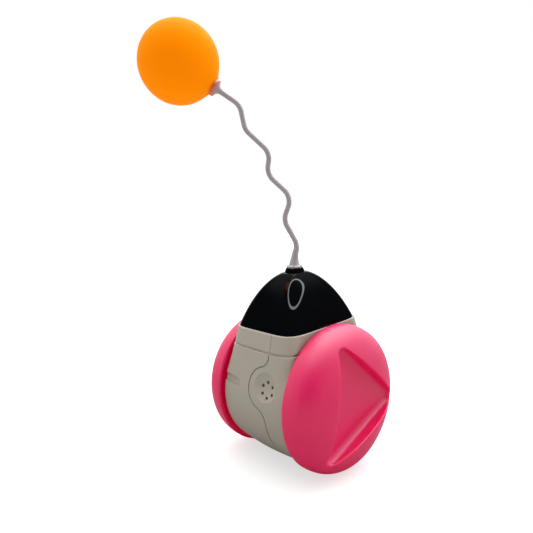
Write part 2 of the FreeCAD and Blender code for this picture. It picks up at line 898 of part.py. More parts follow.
def tube_along(points, bend, radius):
    path = rounded_path(points, bend)
    section = Part.Wire([Part.makeCircle(radius, points[0], points[1] - points[0])])
    solid = path.makePipeShell([section], True, False)
    print("tube length %.2f, volume %.2f of %.2f" % (
        path.Length, solid.Volume, math.pi * radius ** 2 * path.Length))
    return solid


def speaker_leads():
    leads = []
    slope = math.radians(sound_angle)
    for sign in (-1, 1):
        x = sound_x + sign * lead_spread / 2.0
        start = V(x, -speaker_back * math.cos(slope), speaker_back * math.sin(slope))
        inward = V(0, math.cos(slope), -math.sin(slope))
        entry = V(x - 3.0, -case_half_y - 4.5, lead_entry_z())
        leads.append(tube_along([start, start + inward * 4.0, entry, entry + V(0, 5.5, 0)],
                                lead_bend, lead_radius))
    return Part.Compound(leads)


# Hood


def plan_wire(half_x, half_y, power, z):
    count = 32
    points = []
    for index in range(count):
        angle = 2.0 * math.pi * (index + 0.5) / count
        c = math.cos(angle)
        s = math.sin(angle)
        points.append(V(math.copysign(half_x * abs(c) ** (2.0 / power), c),
                        math.copysign(half_y * abs(s) ** (2.0 / power), s), z))
    curve = Part.BSplineCurve()
    curve.interpolate(Points=points, PeriodicFlag=True)
    return Part.Wire([curve.toShape()])


def hood_form(inset, base, apex, neck_z):
    # Rounded-square sections that shrink towards the neck
    sections = []
    last = ((neck_z - base) / (apex - base)) ** (hood_rise_power / 2.0)
    last_angle = math.asin(last)
    steps = 9
    for index in range(steps + 1):
        angle = last_angle * index / steps
        share = math.cos(angle) ** (2.0 / hood_profile_power)
        z = base + (apex - base) * math.sin(angle) ** (2.0 / hood_rise_power)
        power = hood_plan_power + (hood_neck_power - hood_plan_power) * (index / steps) ** 2
        sections.append(plan_wire((hood_half_x - inset) * share, (hood_half_y - inset) * share,
                                  power, z))
    return Part.makeLoft(sections, True, False)


def plan_block(half_x, half_y, z_from, z_to):
    face = Part.Face(plan_wire(half_x, half_y, hood_plan_power, z_from))
    return face.extrude(V(0, 0, z_to - z_from))


def hood_cover():
    outside = hood_form(0.0, body_top, hood_apex, hood_neck_z)
    room_base = body_top + hood_base_ledge
    room = hood_form(hood_wall, room_base, hood_apex - hood_crown_wall, neck_boss_bottom)
    skirt_half_x = inner_half_width - skirt_gap
    skirt_half_y = body_plan_half_y - body_wall - skirt_gap
    skirt = plan_block(skirt_half_x, skirt_half_y, skirt_bottom, body_top + 0.3)
    lugs = []
    for sign in (-1, 1):
        y_from = min(sign * (skirt_half_y - 0.5), sign * (skirt_half_y + skirt_lug_reach))
        lugs.append(block(-skirt_lug_half_length, skirt_lug_half_length, y_from,
                          y_from + skirt_lug_reach + 0.5, skirt_bottom, skirt_bottom + skirt_lug_height))
    mouth = plan_block(skirt_half_x - skirt_wall, skirt_half_y - skirt_wall,
                       skirt_bottom - 1.0, room_base + 0.2)
    hood = joined([outside.cut(room), skirt] + lugs).cut(mouth)
    hood = joined([hood, rod_z(neck_boss_bottom, hood_neck_z, neck_boss_radius)])
    return hood.cut(rod_z(neck_boss_bottom - 1.0, hood_neck_z + 1.0, grommet_sleeve_radius))


def neck_grommet():
    low = neck_boss_bottom - grommet_flange_thickness
    bore = foot_peg_radius + foot_peg_gap
    profile = [V(bore, 0, low), V(grommet_flange_radius, 0, low),
               V(grommet_flange_radius, 0, neck_boss_bottom),
               V(grommet_sleeve_radius, 0, neck_boss_bottom),
               V(grommet_sleeve_radius, 0, hood_neck_z), V(grommet_base_radius, 0, hood_neck_z),
               V(grommet_base_radius - 0.2, 0, hood_neck_z + 0.9),
               V(grommet_top_radius, 0, neck_top - 0.3), V(grommet_top_radius - 0.3, 0, neck_top),
               V(bore, 0, neck_top)]
    return turned_about_z(profile)


# Wand, drawn in a plane that holds the neck's axis: out along the heading, and up


def wand_point(out, up):
    heading = math.radians(wand_heading)
    return V(-out * math.sin(heading), -out * math.cos(heading), neck_top + up)


def wand_foot():
    low = foot_gap
    barb_top = neck_boss_bottom - grommet_flange_thickness - foot_barb_gap - neck_top
    barb_low = barb_top - foot_barb_length
    outline = [V(0, 0, barb_low), V(foot_peg_radius, 0, barb_low), V(foot_barb_radius, 0, barb_top),
               V(foot_peg_radius, 0, barb_top), V(foot_peg_radius, 0, low), V(foot_radius, 0, low),
               V(foot_radius, 0, low + 0.9), V(foot_radius - 0.5, 0, low + 1.4),
               V(foot_radius * 0.66, 0, low + 2.4), V(foot_radius * 0.46, 0, low + 4.0),
               V(foot_tip_radius, 0, foot_height), V(0, 0, foot_height)]
    foot = turned_about_z(outline)
    foot.translate(V(0, 0, neck_top))
    return foot


def turned_along(points, origin, direction):
    # Points are (distance along direction, radius)
    face = Part.Face(Part.makePolygon([V(r, 0, a) for a, r in points] + [V(points[0][1], 0, points[0][0])]))
    solid = face.revolve(CENTRE, Z_AXIS, 360)
    turn = FreeCAD.Rotation(Z_AXIS, direction)
    solid.Placement = FreeCAD.Placement(origin, turn).multiply(solid.Placement)
    return solid


def ball_axis():
    centre = wand_point(ball_centre_out, ball_centre_up)
    last = wand_point(*wand_corners[-1])
    return centre, (centre - last).normalize()


def ball_mouth_distance():
    apex = ball_radius / math.sin(math.radians(ball_cone_angle))
    return apex - ball_mouth_radius / math.tan(math.radians(ball_cone_angle))


def wand_rod():
    centre, direction = ball_axis()
    tip_face = centre - direction * ball_mouth_distance()
    pivot = wand_point(flex_pivot_out, flex_pivot_up)
    points = [pivot] + [wand_point(*corner) for corner in wand_corners]
    points.append(tip_face - direction * (tip_length - 0.5))
    tube = tube_along(points, wand_bend_radius, wand_radius)
    knuckle = Part.makeSphere(wand_radius, pivot)
    tip = turned_along([(-tip_length, 0), (-tip_length, wand_radius), (-tip_length * 0.66, wand_radius * 1.35),
                        (-tip_rim * 1.1, tip_radius * 0.8), (-tip_rim * 0.75, tip_radius),
                        (-0.25, tip_radius), (0, tip_radius - 0.3), (0, tip_spigot_radius),
                        (tip_spigot_length - 0.6, tip_spigot_radius),
                        (tip_spigot_length, tip_spigot_radius - 0.5), (tip_spigot_length, 0)],
                       tip_face, direction)
    return joined([knuckle, tube, tip])


def ball_shell_form(radius, mouth_shift, mouth_radius):
    cone = math.radians(ball_cone_angle)
    start = -math.pi / 2.0 + (math.pi / 2.0 - cone)
    meet = V(radius * math.cos(start), 0, radius * math.sin(start))
    apex = radius / math.sin(cone)
    end_z = -ball_mouth_distance() + mouth_shift
    end_r = (apex + end_z) * math.tan(cone)
    arc = Part.Arc(meet, V(radius, 0, 0), V(0, 0, radius)).toShape()
    edges = [arc, Part.makeLine(V(0, 0, radius), V(0, 0, end_z)),
             Part.makeLine(V(0, 0, end_z), V(end_r, 0, end_z)),
             Part.makeLine(V(end_r, 0, end_z), meet)]
    return Part.Face(Part.Wire(edges)).revolve(CENTRE, Z_AXIS, 360)


def ball():
    centre, direction = ball_axis()
    outside = ball_shell_form(ball_radius, 0.0, ball_mouth_radius)
    inside = ball_shell_form(ball_radius - ball_wall, ball_wall, ball_mouth_radius)
    hole = rod_z(-ball_radius - 5.0, -ball_radius + 5.0, tip_spigot_radius)
    shell = outside.cut(inside).cut(hole)
    turn = FreeCAD.Rotation(Z_AXIS, direction)
    shell.Placement = FreeCAD.Placement(centre, turn)
    return shell


# Writing the nodes


def placed(shape):
    # From the body's upright frame about the axle to the leaning body on the floor
    leaning = shape.copy()
    leaning.rotate(CENTRE, X_AXIS, body_lean)
    leaning.translate(V(0, 0, wheel_radius))
    return leaning


def on_floor(shape):
    standing = shape.copy()
    standing.translate(V(0, 0, wheel_radius))
    return standing


def write_node(name, shape):
    solids = shape.Solids
    valid = all(solid.isValid() for solid in solids)
    print("%-20s solids %d  volume %9.1f  valid %s" % (
        name, len(solids), sum(solid.Volume for solid in solids), valid))
    shape.exportStep("parts/%s.step" % name)


def main():
    os.makedirs("parts", exist_ok=True)
    left_shell, right_shell = shell_pair()
    body_nodes = {
        "left_body_shell": left_shell,
        "right_body_shell": right_shell,
        "hood_cover": hood_cover(),
        "neck_grommet": neck_grommet(),
        "axle": axle(),
        "thrust_washers": thrust_washers(),
        "end_washers": end_washers(),
        "end_screws": end_screws(),
        "shell_screws": shell_screws(),
        "counterweight": counterweight(),
        "weight_screws": weight_screws(),
        "sound_case": sound_case(),
        "sound_lid": sound_lid(),
        "module_screws": module_screws(),
        "circuit_board": circuit_board(),
        "board_parts": board_parts(),
        "button_cells": button_cells(),
        "cell_contacts": cell_contacts(),
        "vibration_switch": vibration_switch(),
        "switch_pin": switch_pin(),
        "speaker_can": speaker_can(),
        "speaker_cone": speaker_cone(),
        "speaker_gasket": speaker_gasket_ring(),
        "speaker_leads": speaker_leads(),
        "wand_foot": wand_foot(),
        "wand_rod": wand_rod(),
        "ball": ball(),
    }
    for name, shape in body_nodes.items():
        write_node(name, placed(shape))
    wheel_nodes = {
        "wheel_cap": wheel_cap(),
        "wheel_disc": wheel_disc(),
        "wheel_bush": wheel_bush(),
        "disc_screws": disc_screws(),
    }
    for name, shape in wheel_nodes.items():
        write_node("right_" + name, on_floor(shape))
        write_node("left_" + name, on_floor(mirrored(shape)))


main()
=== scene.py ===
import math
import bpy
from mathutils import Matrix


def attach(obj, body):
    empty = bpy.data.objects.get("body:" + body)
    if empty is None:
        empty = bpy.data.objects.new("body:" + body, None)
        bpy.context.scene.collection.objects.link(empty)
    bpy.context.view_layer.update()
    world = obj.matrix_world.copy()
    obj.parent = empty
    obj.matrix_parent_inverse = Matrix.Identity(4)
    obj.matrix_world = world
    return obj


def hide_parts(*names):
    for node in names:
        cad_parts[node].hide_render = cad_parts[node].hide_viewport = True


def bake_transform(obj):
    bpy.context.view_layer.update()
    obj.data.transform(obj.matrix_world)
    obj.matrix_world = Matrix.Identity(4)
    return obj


bl_info = {
    "name": "Wobble Pet Toy",
    "version": (1, 0, 0),
    "blender": (4, 5, 0),
    "location": "View3D > Sidebar > Wobble Toy",
    "description": "Dresses a roly-poly pet toy: wheels, drum body, hood, springy wand and ball",
    "category": "Add Mesh",
}

import bpy
from bpy.props import FloatProperty, FloatVectorProperty, PointerProperty
from bpy.types import Operator, Panel, PropertyGroup
from mathutils import Vector

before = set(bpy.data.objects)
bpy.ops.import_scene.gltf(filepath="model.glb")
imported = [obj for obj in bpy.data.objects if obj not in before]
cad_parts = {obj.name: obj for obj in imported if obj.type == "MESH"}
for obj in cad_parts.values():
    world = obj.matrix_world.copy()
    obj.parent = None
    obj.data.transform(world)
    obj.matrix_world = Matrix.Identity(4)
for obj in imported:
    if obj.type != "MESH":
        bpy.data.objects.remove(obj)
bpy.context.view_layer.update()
MM = 0.001
AXLE_HEIGHT = 36.0
BODY_LEAN = math.radians(4.1)
NECK_TOP = 62.3
RELIEF = 0.2 * MM


def srgb(red, green, blue):
    """Turns a colour written as 0 to 255 into the linear values that shaders take."""
    values = []
    for part in (red, green, blue):
        share = part / 255.0
        values.append(share / 12.92 if share <= 0.04045 else ((share + 0.055) / 1.055) ** 2.4)
    return tuple(values)


def from_body(x, y, z):
    """A point of the upright body about its axle, in millimetres, as metres on the floor."""
    down = y * math.cos(BODY_LEAN) - z * math.sin(BODY_LEAN)
    up = y * math.sin(BODY_LEAN) + z * math.cos(BODY_LEAN)
    return Vector((x, down, up + AXLE_HEIGHT)) * MM


# Settings that a user may change


class WheelSettings(PropertyGroup):
    radius: FloatProperty(
        name="Wheel radius", description="Radius of the rolling rim, in millimetres",
        min=5.0, default=36.0)
    inner_plane: FloatProperty(
        name="Inner plane", description="Where a wheel's inner rim starts along the axle, in "
        "millimetres from the middle", min=1.0, default=22.45)
    dome_height: FloatProperty(
        name="Dome height", description="How far a wheel's dome stands out from its rim, in "
        "millimetres", min=1.0, default=18.2)
    dome_power: FloatProperty(
        name="Dome power", description="2 is an ellipse, more is a flatter dome with fuller sides",
        min=1.5, max=6.0, default=2.67)
    rim_round: FloatProperty(
        name="Rim rounding", description="Radius of the wheel's inner corner, in millimetres",
        min=0.05, default=0.45)
    pocket_apothem: FloatProperty(
        name="Pocket size", description="Distance from the axle to each side of the triangular "
        "pocket, in millimetres", min=5.0, default=17.3)
    pocket_corner: FloatProperty(
        name="Pocket corner", description="Radius of the pocket's three corners, in millimetres",
        min=0.5, default=3.6)
    pocket_depth: FloatProperty(
        name="Pocket depth", description="Depth of the pocket below the crown, in millimetres",
        min=0.5, default=7.9)
    pocket_draft: FloatProperty(
        name="Pocket draft", description="How far the pocket's walls lean out over its depth, in "
        "millimetres", min=0.0, default=0.35)
    pocket_fillet: FloatProperty(
        name="Pocket fillet", description="Radius between the pocket's floor and walls, in "
        "millimetres", min=0.1, default=3.0)
    pocket_edge: FloatProperty(
        name="Pocket edge", description="Rounding of the pocket's upper edge, in millimetres",
        min=0.05, default=0.9)
    pocket_turn: FloatProperty(
        name="Pocket turn", description="Turn of the pocket about the axle",
        subtype="ANGLE", default=math.radians(-8.2))
    seat_radius: FloatProperty(
        name="Disc seat", description="Radius of the seat that holds the inner disc, in "
        "millimetres", min=1.0, default=34.3)
    seat_depth: FloatProperty(
        name="Seat depth", description="Depth of that seat, in millimetres", min=0.5, default=4.01)
    colour: FloatVectorProperty(
        name="Wheel colour", description="Colour of the moulded wheels",
        subtype="COLOR", size=3, min=0.0, max=1.0, default=srgb(198, 6, 92))
    # A painted glow: red emission that stands in for light coming through the translucent wheels,
    # above all in their shaded inner rims.
    painted_glow: FloatProperty(
        name="Painted glow", description="Painted red glow, in place of light that comes through the plastic",
        min=0.0, max=1.0, default=0.18)
    roughness: FloatProperty(
        name="Wheel roughness", description="How dull the moulded wheels are",
        min=0.0, max=1.0, default=0.34)


class BodySettings(PropertyGroup):
    colour: FloatVectorProperty(
        name="Shell colour", description="Colour of the two body shells",
        subtype="COLOR", size=3, min=0.0, max=1.0, default=srgb(169, 162, 148))
    roughness: FloatProperty(
        name="Shell roughness", description="How dull the body shells are",
        min=0.0, max=1.0, default=0.46)


class HoodSettings(PropertyGroup):
    half_width: FloatProperty(
        name="Half width", description="Half of the hood's width along the axle, in millimetres",
        min=1.0, default=20.5)
    half_depth: FloatProperty(
        name="Half depth", description="Half of the hood's depth from front to back, in "
        "millimetres", min=1.0, default=25.6)
    base_height: FloatProperty(
        name="Base height", description="Height of the hood's edge above the axle, in millimetres",
        min=0.0, default=34.9)
    apex_height: FloatProperty(
        name="Apex height", description="Height above the axle at which the hood would close, in "
        "millimetres", min=1.0, default=61.1)
    neck_height: FloatProperty(
        name="Neck height", description="Height of the neck above the axle, in millimetres",
        min=1.0, default=60.1)
    profile_power: FloatProperty(
        name="Profile power", description="Roundness of the hood's shoulders",
        min=1.0, default=2.25)
    rise_power: FloatProperty(
        name="Rise power", description="Steepness of the hood above its edge, 1 is a straight "
        "slope", min=1.0, default=1.07)
    plan_power: FloatProperty(
        name="Plan power", description="Squareness of the hood at its edge", min=2.0, default=6.0)
    neck_power: FloatProperty(
        name="Neck squareness", description="Squareness of the hood at its neck",
        min=2.0, default=3.0)
    colour: FloatVectorProperty(
        name="Hood colour", description="Colour of the glossy hood",
        subtype="COLOR", size=3, min=0.0, max=1.0, default=srgb(9, 10, 12))
    roughness: FloatProperty(
        name="Hood roughness", description="How dull the glossy hood is",
        min=0.0, max=1.0, default=0.003)


class WandSettings(PropertyGroup):
    rod_radius: FloatProperty(
        name="Rod radius", description="Radius of the springy rod, in millimetres",
        min=0.2, default=1.22)
    bend_radius: FloatProperty(
        name="Bend radius", description="Radius of each bend of the wave, in millimetres",
        min=1.0, default=8.0)
    foot_radius: FloatProperty(
        name="Foot radius", description="Radius of the flared foot's rim, in millimetres",
        min=0.5, default=3.9)
    foot_flare: FloatProperty(
        name="Foot flare", description="Height over which the foot narrows, in millimetres",
        min=0.2, default=4.0)
    tip_radius: FloatProperty(
        name="Tip radius", description="Radius of the flared tip's rim, in millimetres",
        min=0.5, default=4.15)
    tip_flare: FloatProperty(
        name="Tip flare", description="Length over which the tip widens, in millimetres",
        min=0.2, default=0.95)
    colour: FloatVectorProperty(
        name="Wand colour", description="Colour of the springy wand",
        subtype="COLOR", size=3, min=0.0, max=1.0, default=srgb(164, 156, 159))
    # The tip's colour is painted light: orange from the ball, shining through and reflected onto
    # the pale tip.
    painted_tip_glow: FloatVectorProperty(
        name="Painted tip glow", description="Colour of the wand's tip, where the ball shines through",
        subtype="COLOR", size=3, min=0.0, max=1.0, default=srgb(204, 106, 58))
    roughness: FloatProperty(
        name="Wand roughness", description="How dull the springy wand is",
        min=0.0, max=1.0, default=0.26)


class BallSettings(PropertyGroup):
    radius: FloatProperty(
        name="Ball radius", description="Radius of the ball, in millimetres",
        min=1.0, default=19.7)
    cone_angle: FloatProperty(
        name="Mouth cone", description="Half angle of the cone that leads to the mouth",
        subtype="ANGLE", default=math.radians(60.0))
    mouth_radius: FloatProperty(
        name="Mouth radius", description="Radius of the ball's mouth, in millimetres",
        min=0.2, default=3.5)
    colour: FloatVectorProperty(
        name="Ball colour", description="Colour of the light ball",
        subtype="COLOR", size=3, min=0.0, max=1.0, default=srgb(248, 153, 0))
    # A painted glow: red emission that stands in for light coming through the translucent ball.
    painted_glow: FloatProperty(
        name="Painted glow", description="Painted red glow on the ball's skin, in place of light that comes through it",
        min=0.0, max=1.0, default=0.24)
    roughness: FloatProperty(
        name="Ball roughness", description="How dull the light ball is",
        min=0.0, max=1.0, default=0.5)


class StageSettings(PropertyGroup):
    ring_strength: FloatProperty(
        name="Ring lamp", description="Brightness of the ring lamp that hangs above the toy",
        min=0.0, default=5.0)
    ceiling: FloatProperty(
        name="Ceiling light", description="Brightness of the soft light from straight above",
        min=0.0, default=3.1)
    sky: FloatProperty(
        name="Sky light", description="Brightness of the wide light that grows with height",
        min=0.0, default=0.46)
    wall: FloatProperty(
        name="Wall light", description="Brightness of the soft light from both sides and from "
        "behind, none of which comes from the camera's side", min=0.0, default=0.82)
    glow: FloatProperty(
        name="Floor glow", description="White that the floor adds for the camera, so that it "
        "fades into the background", min=0.0, max=1.0, default=0.62)
    lens: FloatProperty(
        name="Lens", description="Focal length on a 36 mm wide frame",
        subtype="DISTANCE_CAMERA", min=1.0, default=31.45)


# Node helpers


class NodeBench:
    """Places nodes in one tree and joins them, left to right."""

    def __init__(self, tree):
        self.tree = tree
        self.count = 0

    def add(self, kind, settings=None, **inputs):
        """A node with its settings; inputs are named, or numbered as in i0 and i1."""
        node = self.tree.nodes.new(kind)
        node.location = (180 * (self.count % 12), -220 * (self.count // 12))
        self.count += 1
        for name, value in (settings or {}).items():
            setattr(node, name, value)
        for name, value in inputs.items():
            key = name.replace("_", " ")
            index = int(key[1:]) if key[0] == "i" and key[1:].isdigit() else key
            self.feed(node.inputs[index], value)
        return node

    def calc(self, operation, *values):
        """A Math node on sockets or numbers, and its result."""
        node = self.add("ShaderNodeMath", {"operation": operation})
        for index, value in enumerate(values):
            self.feed(node.inputs[index], value)
        return node.outputs[0]

    def ramp(self, value, low, high):
        """0 below low and 1 above high, with a soft step between."""
        return self.add("ShaderNodeMapRange", {"interpolation_type": "SMOOTHSTEP"}, Value=value,
                        From_Min=low, From_Max=high).outputs[0]

    def feed(self, socket, value):
        if isinstance(value, bpy.types.NodeSocket):
            self.tree.links.new(value, socket)
        else:
            socket.default_value = value


def start_material(name):
    """An empty material with its shader and the place on the piece."""
    material = bpy.data.materials.new(name)
    material.use_nodes = True
    material.node_tree.nodes.clear()
    bench = NodeBench(material.node_tree)
    shader = bench.add("ShaderNodeBsdfPrincipled")
    output = bench.add("ShaderNodeOutputMaterial")
    material.node_tree.links.new(shader.outputs["BSDF"], output.inputs["Surface"])
    place = bench.add("ShaderNodeTexCoord").outputs["Object"]
    return material, bench, shader, place


def shader_group(name, inputs, outputs):
    """An empty shader node group: inputs are (name, default) and outputs are names."""
    tree = bpy.data.node_groups.new(name, "ShaderNodeTree")
    tree.interface.new_socket("Place", in_out="INPUT", socket_type="NodeSocketVector")
    for label, default in inputs:
        socket = tree.interface.new_socket(label, in_out="INPUT", socket_type="NodeSocketFloat")
        socket.default_value = default
    for label in outputs:
        tree.interface.new_socket(label, in_out="OUTPUT", socket_type="NodeSocketFloat")
    bench = NodeBench(tree)
    return tree, bench, bench.add("NodeGroupInput").outputs, bench.add("NodeGroupOutput").inputs


def moulded_skin_group():
    """The skin of moulded plastic: fine spark grain, slow flow mottling and dull patches."""
    tree, bench, given, result = shader_group(
        "Moulded Skin",
        [("Grain Size", 0.25), ("Grain Depth", 0.2), ("Mottle Size", 9.0), ("Mottle", 0.04),
         ("Roughness", 0.4), ("Patchiness", 0.05)],
        ["Height", "Roughness", "Mottle"])
    grain = bench.add("ShaderNodeTexNoise", Vector=given["Place"], Detail=3.0, Roughness=0.6,
                      Scale=bench.calc("DIVIDE", 1.0 / MM, given["Grain Size"])).outputs[0]
    bench.feed(result["Height"], bench.calc("MULTIPLY", grain, given["Grain Depth"]))
    mottle = bench.add("ShaderNodeTexNoise", Vector=given["Place"], Detail=2.0, Distortion=0.4,
                       Scale=bench.calc("DIVIDE", 1.0 / MM, given["Mottle Size"])).outputs[0]
    centred = bench.calc("SUBTRACT", mottle, 0.5)
    bench.feed(result["Mottle"], bench.calc("MULTIPLY_ADD", centred, given["Mottle"], 1.0))
    bench.feed(result["Roughness"], bench.calc(
        "MULTIPLY_ADD", centred, given["Patchiness"], given["Roughness"]))
    return tree


def handling_marks_group():
    """Marks of use: hair-thin scuffs that run one way."""
    tree, bench, given, result = shader_group(
        "Handling Marks", [("Scuff Size", 3.0), ("Scuffs", 0.1)], ["Scuffs"])
    stretched = bench.add("ShaderNodeMapping", Vector=given["Place"],
                          Rotation=(0.3, 0.5, 0.9), Scale=(1.0, 0.06, 0.4)).outputs[0]
    lines = bench.add("ShaderNodeTexNoise", Vector=stretched, Detail=2.0, Roughness=0.7,
                      Scale=bench.calc("DIVIDE", 1.0 / MM, given["Scuff Size"])).outputs[0]
    thin = bench.ramp(lines, 0.66, 0.76)
    bench.feed(result["Scuffs"], bench.calc("MULTIPLY", thin, given["Scuffs"]))
    return tree


def place_group(bench, tree, place, values):
    """Puts a shared group into a material, with the material's own values."""
    node = bench.add("ShaderNodeGroup", {"node_tree": tree})
    bench.feed(node.inputs["Place"], place)
    for name, value in values.items():
        bench.feed(node.inputs[name], value)
    return node.outputs


def set_values(shader, **values):
    """Sets plain numbers and colours on a shader's own sockets."""
    for name, value in values.items():
        shader.inputs[name.replace("_", " ")].default_value = value


def surface_finish(name, colour, groups, bump, skin_values, mark_values):
    """A material whose shade, dullness and relief come from the two shared groups."""
    material, bench, shader, place = start_material(name)
    skin = place_group(bench, groups[0], place, skin_values)
    marks = place_group(bench, groups[1], place, mark_values)
    shade = bench.add("ShaderNodeVectorMath", {"operation": "SCALE"}, i0=colour[:3],
                      Scale=skin["Mottle"]).outputs[0]
    bench.feed(shader.inputs["Base Color"], shade)
    bench.feed(shader.inputs["Roughness"], bench.calc("ADD", skin["Roughness"], marks["Scuffs"]))
    relief = bench.add("ShaderNodeBump", Strength=bump, Distance=RELIEF, Height=skin["Height"])
    bench.feed(shader.inputs["Normal"], relief.outputs[0])
    return material, shader


def moulded_plastic(name, colour, roughness, groups, depth=0.2, mottle=0.05, patchiness=0.08,
                    scuffs=0.1, bump=0.04):
    """Moulded plastic: depth is its grain's, and the next three say how much it varies."""
    skin_values = {"Grain Depth": depth, "Mottle": mottle, "Roughness": roughness,
                   "Patchiness": patchiness}
    return surface_finish(name, colour, groups, bump, skin_values, {"Scuffs": scuffs})


def brushed_metal(name, colour, roughness, groups):
    """Metal with a finer grain and shorter, stronger scuffs than the plastics."""
    skin_values = {"Grain Size": 0.15, "Grain Depth": 0.4, "Mottle": 0.12,
                   "Roughness": roughness, "Patchiness": 0.2}
    material, shader = surface_finish(name, colour, groups, 0.1, skin_values,
                                      {"Scuff Size": 0.8, "Scuffs": 0.2})
    set_values(shader, Metallic=1.0)
    return material, shader


def paint_light_towards(material, shader, mask_name, colour):
    """Paints light onto a finish: blends its colour towards another one where the mesh carries a
    mask.
    """
    bench = NodeBench(material.node_tree)
    socket = shader.inputs["Base Color"]
    mask = bench.add("ShaderNodeAttribute", {"attribute_name": mask_name}).outputs["Fac"]
    blend = bench.add("ShaderNodeMix", {"data_type": "RGBA"}, i0=mask,
                      i6=socket.links[0].from_socket, i7=(*colour[:3], 1.0))
    bench.feed(socket, blend.outputs[2])


def shared_groups():
    """The two node groups that all finishes share, built once."""
    built = bpy.data.node_groups
    return (built.get("Moulded Skin") or moulded_skin_group(),
            built.get("Handling Marks") or handling_marks_group())


def dress(material, *names):
    """Gives CAD nodes a finish without touching their meshes."""
    for name in names:
        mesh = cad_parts[name].data
        for index in range(max(1, len(mesh.materials))):
            if index < len(mesh.materials):
                mesh.materials[index] = material
            else:
                mesh.materials.append(material)


# Mesh helpers


def skin_rings(name, rings, first_pole, last_pole, inward=False):
    """A closed mesh through rings of equal length, with a pole at each end."""
    count = len(rings[0])
    points = [point for ring in rings for point in ring] + [first_pole, last_pole]
    faces = []
    for row in range(len(rings) - 1):
        low = row * count
        for index in range(count):
            after = (index + 1) % count
            faces.append((low + index, low + after, low + count + after, low + count + index))
    first = len(points) - 2
    low = (len(rings) - 1) * count
    for index in range(count):
        after = (index + 1) % count
        faces.append((first, after, index))
        faces.append((first + 1, low + index, low + after))
    if inward:
        faces = [tuple(reversed(face)) for face in faces]
    mesh = bpy.data.meshes.new(name)
    mesh.from_pydata([tuple(point) for point in points], [], faces)
    mesh.validate()
    mesh.update()
    return mesh


def make_object(name, mesh, material, sharp_degrees=40.0):
    """Puts a mesh in the scene at the origin, smooth but for edges sharper than given."""
    mesh.materials.clear()
    mesh.materials.append(material)
    mesh.polygons.foreach_set("use_smooth", [True] * len(mesh.polygons))
    mesh.set_sharp_from_angle(angle=math.radians(sharp_degrees))
    piece = bpy.data.objects.new(name, mesh)
    bpy.context.scene.collection.objects.link(piece)
    return piece


def arc_steps(centre, radius, start, end, count):
    """Points of an arc as pairs, from angle start to end in degrees."""
    points = []
    for index in range(count + 1):
        angle = math.radians(start + (end - start) * index / count)
        points.append((centre[0] + radius * math.cos(angle),
                       centre[1] + radius * math.sin(angle)))
    return points


def form_tree(name, numbers):
    """A Geometry Nodes tree with a named input for each size, and one for the material."""
    tree = bpy.data.node_groups.new(name, "GeometryNodeTree")
    tree.interface.new_socket("Geometry", in_out="INPUT", socket_type="NodeSocketGeometry")
    for label in numbers:
        tree.interface.new_socket(label, in_out="INPUT", socket_type="NodeSocketFloat")
    tree.interface.new_socket("Material", in_out="INPUT", socket_type="NodeSocketMaterial")
    tree.interface.new_socket("Geometry", in_out="OUTPUT", socket_type="NodeSocketGeometry")
    bench = NodeBench(tree)
    given = bench.add("NodeGroupInput").outputs
    return tree, bench, given, bench.add("NodeGroupOutput").inputs[0]


def finish_form(bench, geometry, given, result):
    """Ends a tree with a plain mesh that carries the material."""
    whole = bench.add("GeometryNodeRealizeInstances", Geometry=geometry).outputs[0]
    painted = bench.add("GeometryNodeSetMaterial", Geometry=whole, Material=given["Material"])
    bench.feed(result, painted.outputs[0])


def grown_mesh(name, start, tree, values):
    """Runs a tree on a starting curve or mesh and returns the result as a plain mesh."""
    seed = bpy.data.objects.new(name + "_seed", start)
    bpy.context.scene.collection.objects.link(seed)
    modifier = seed.modifiers.new("form", "NODES")
    modifier.node_group = tree
    for socket in tree.interface.items_tree:
        if socket.in_out == "INPUT" and socket.name in values:
            modifier[socket.identifier] = values[socket.name]
    graph = bpy.context.evaluated_depsgraph_get()
    mesh = bpy.data.meshes.new_from_object(seed.evaluated_get(graph))
    seed.modifiers.remove(modifier)
    bpy.data.objects.remove(seed)
    mesh.name = name
    return mesh


# Wheel


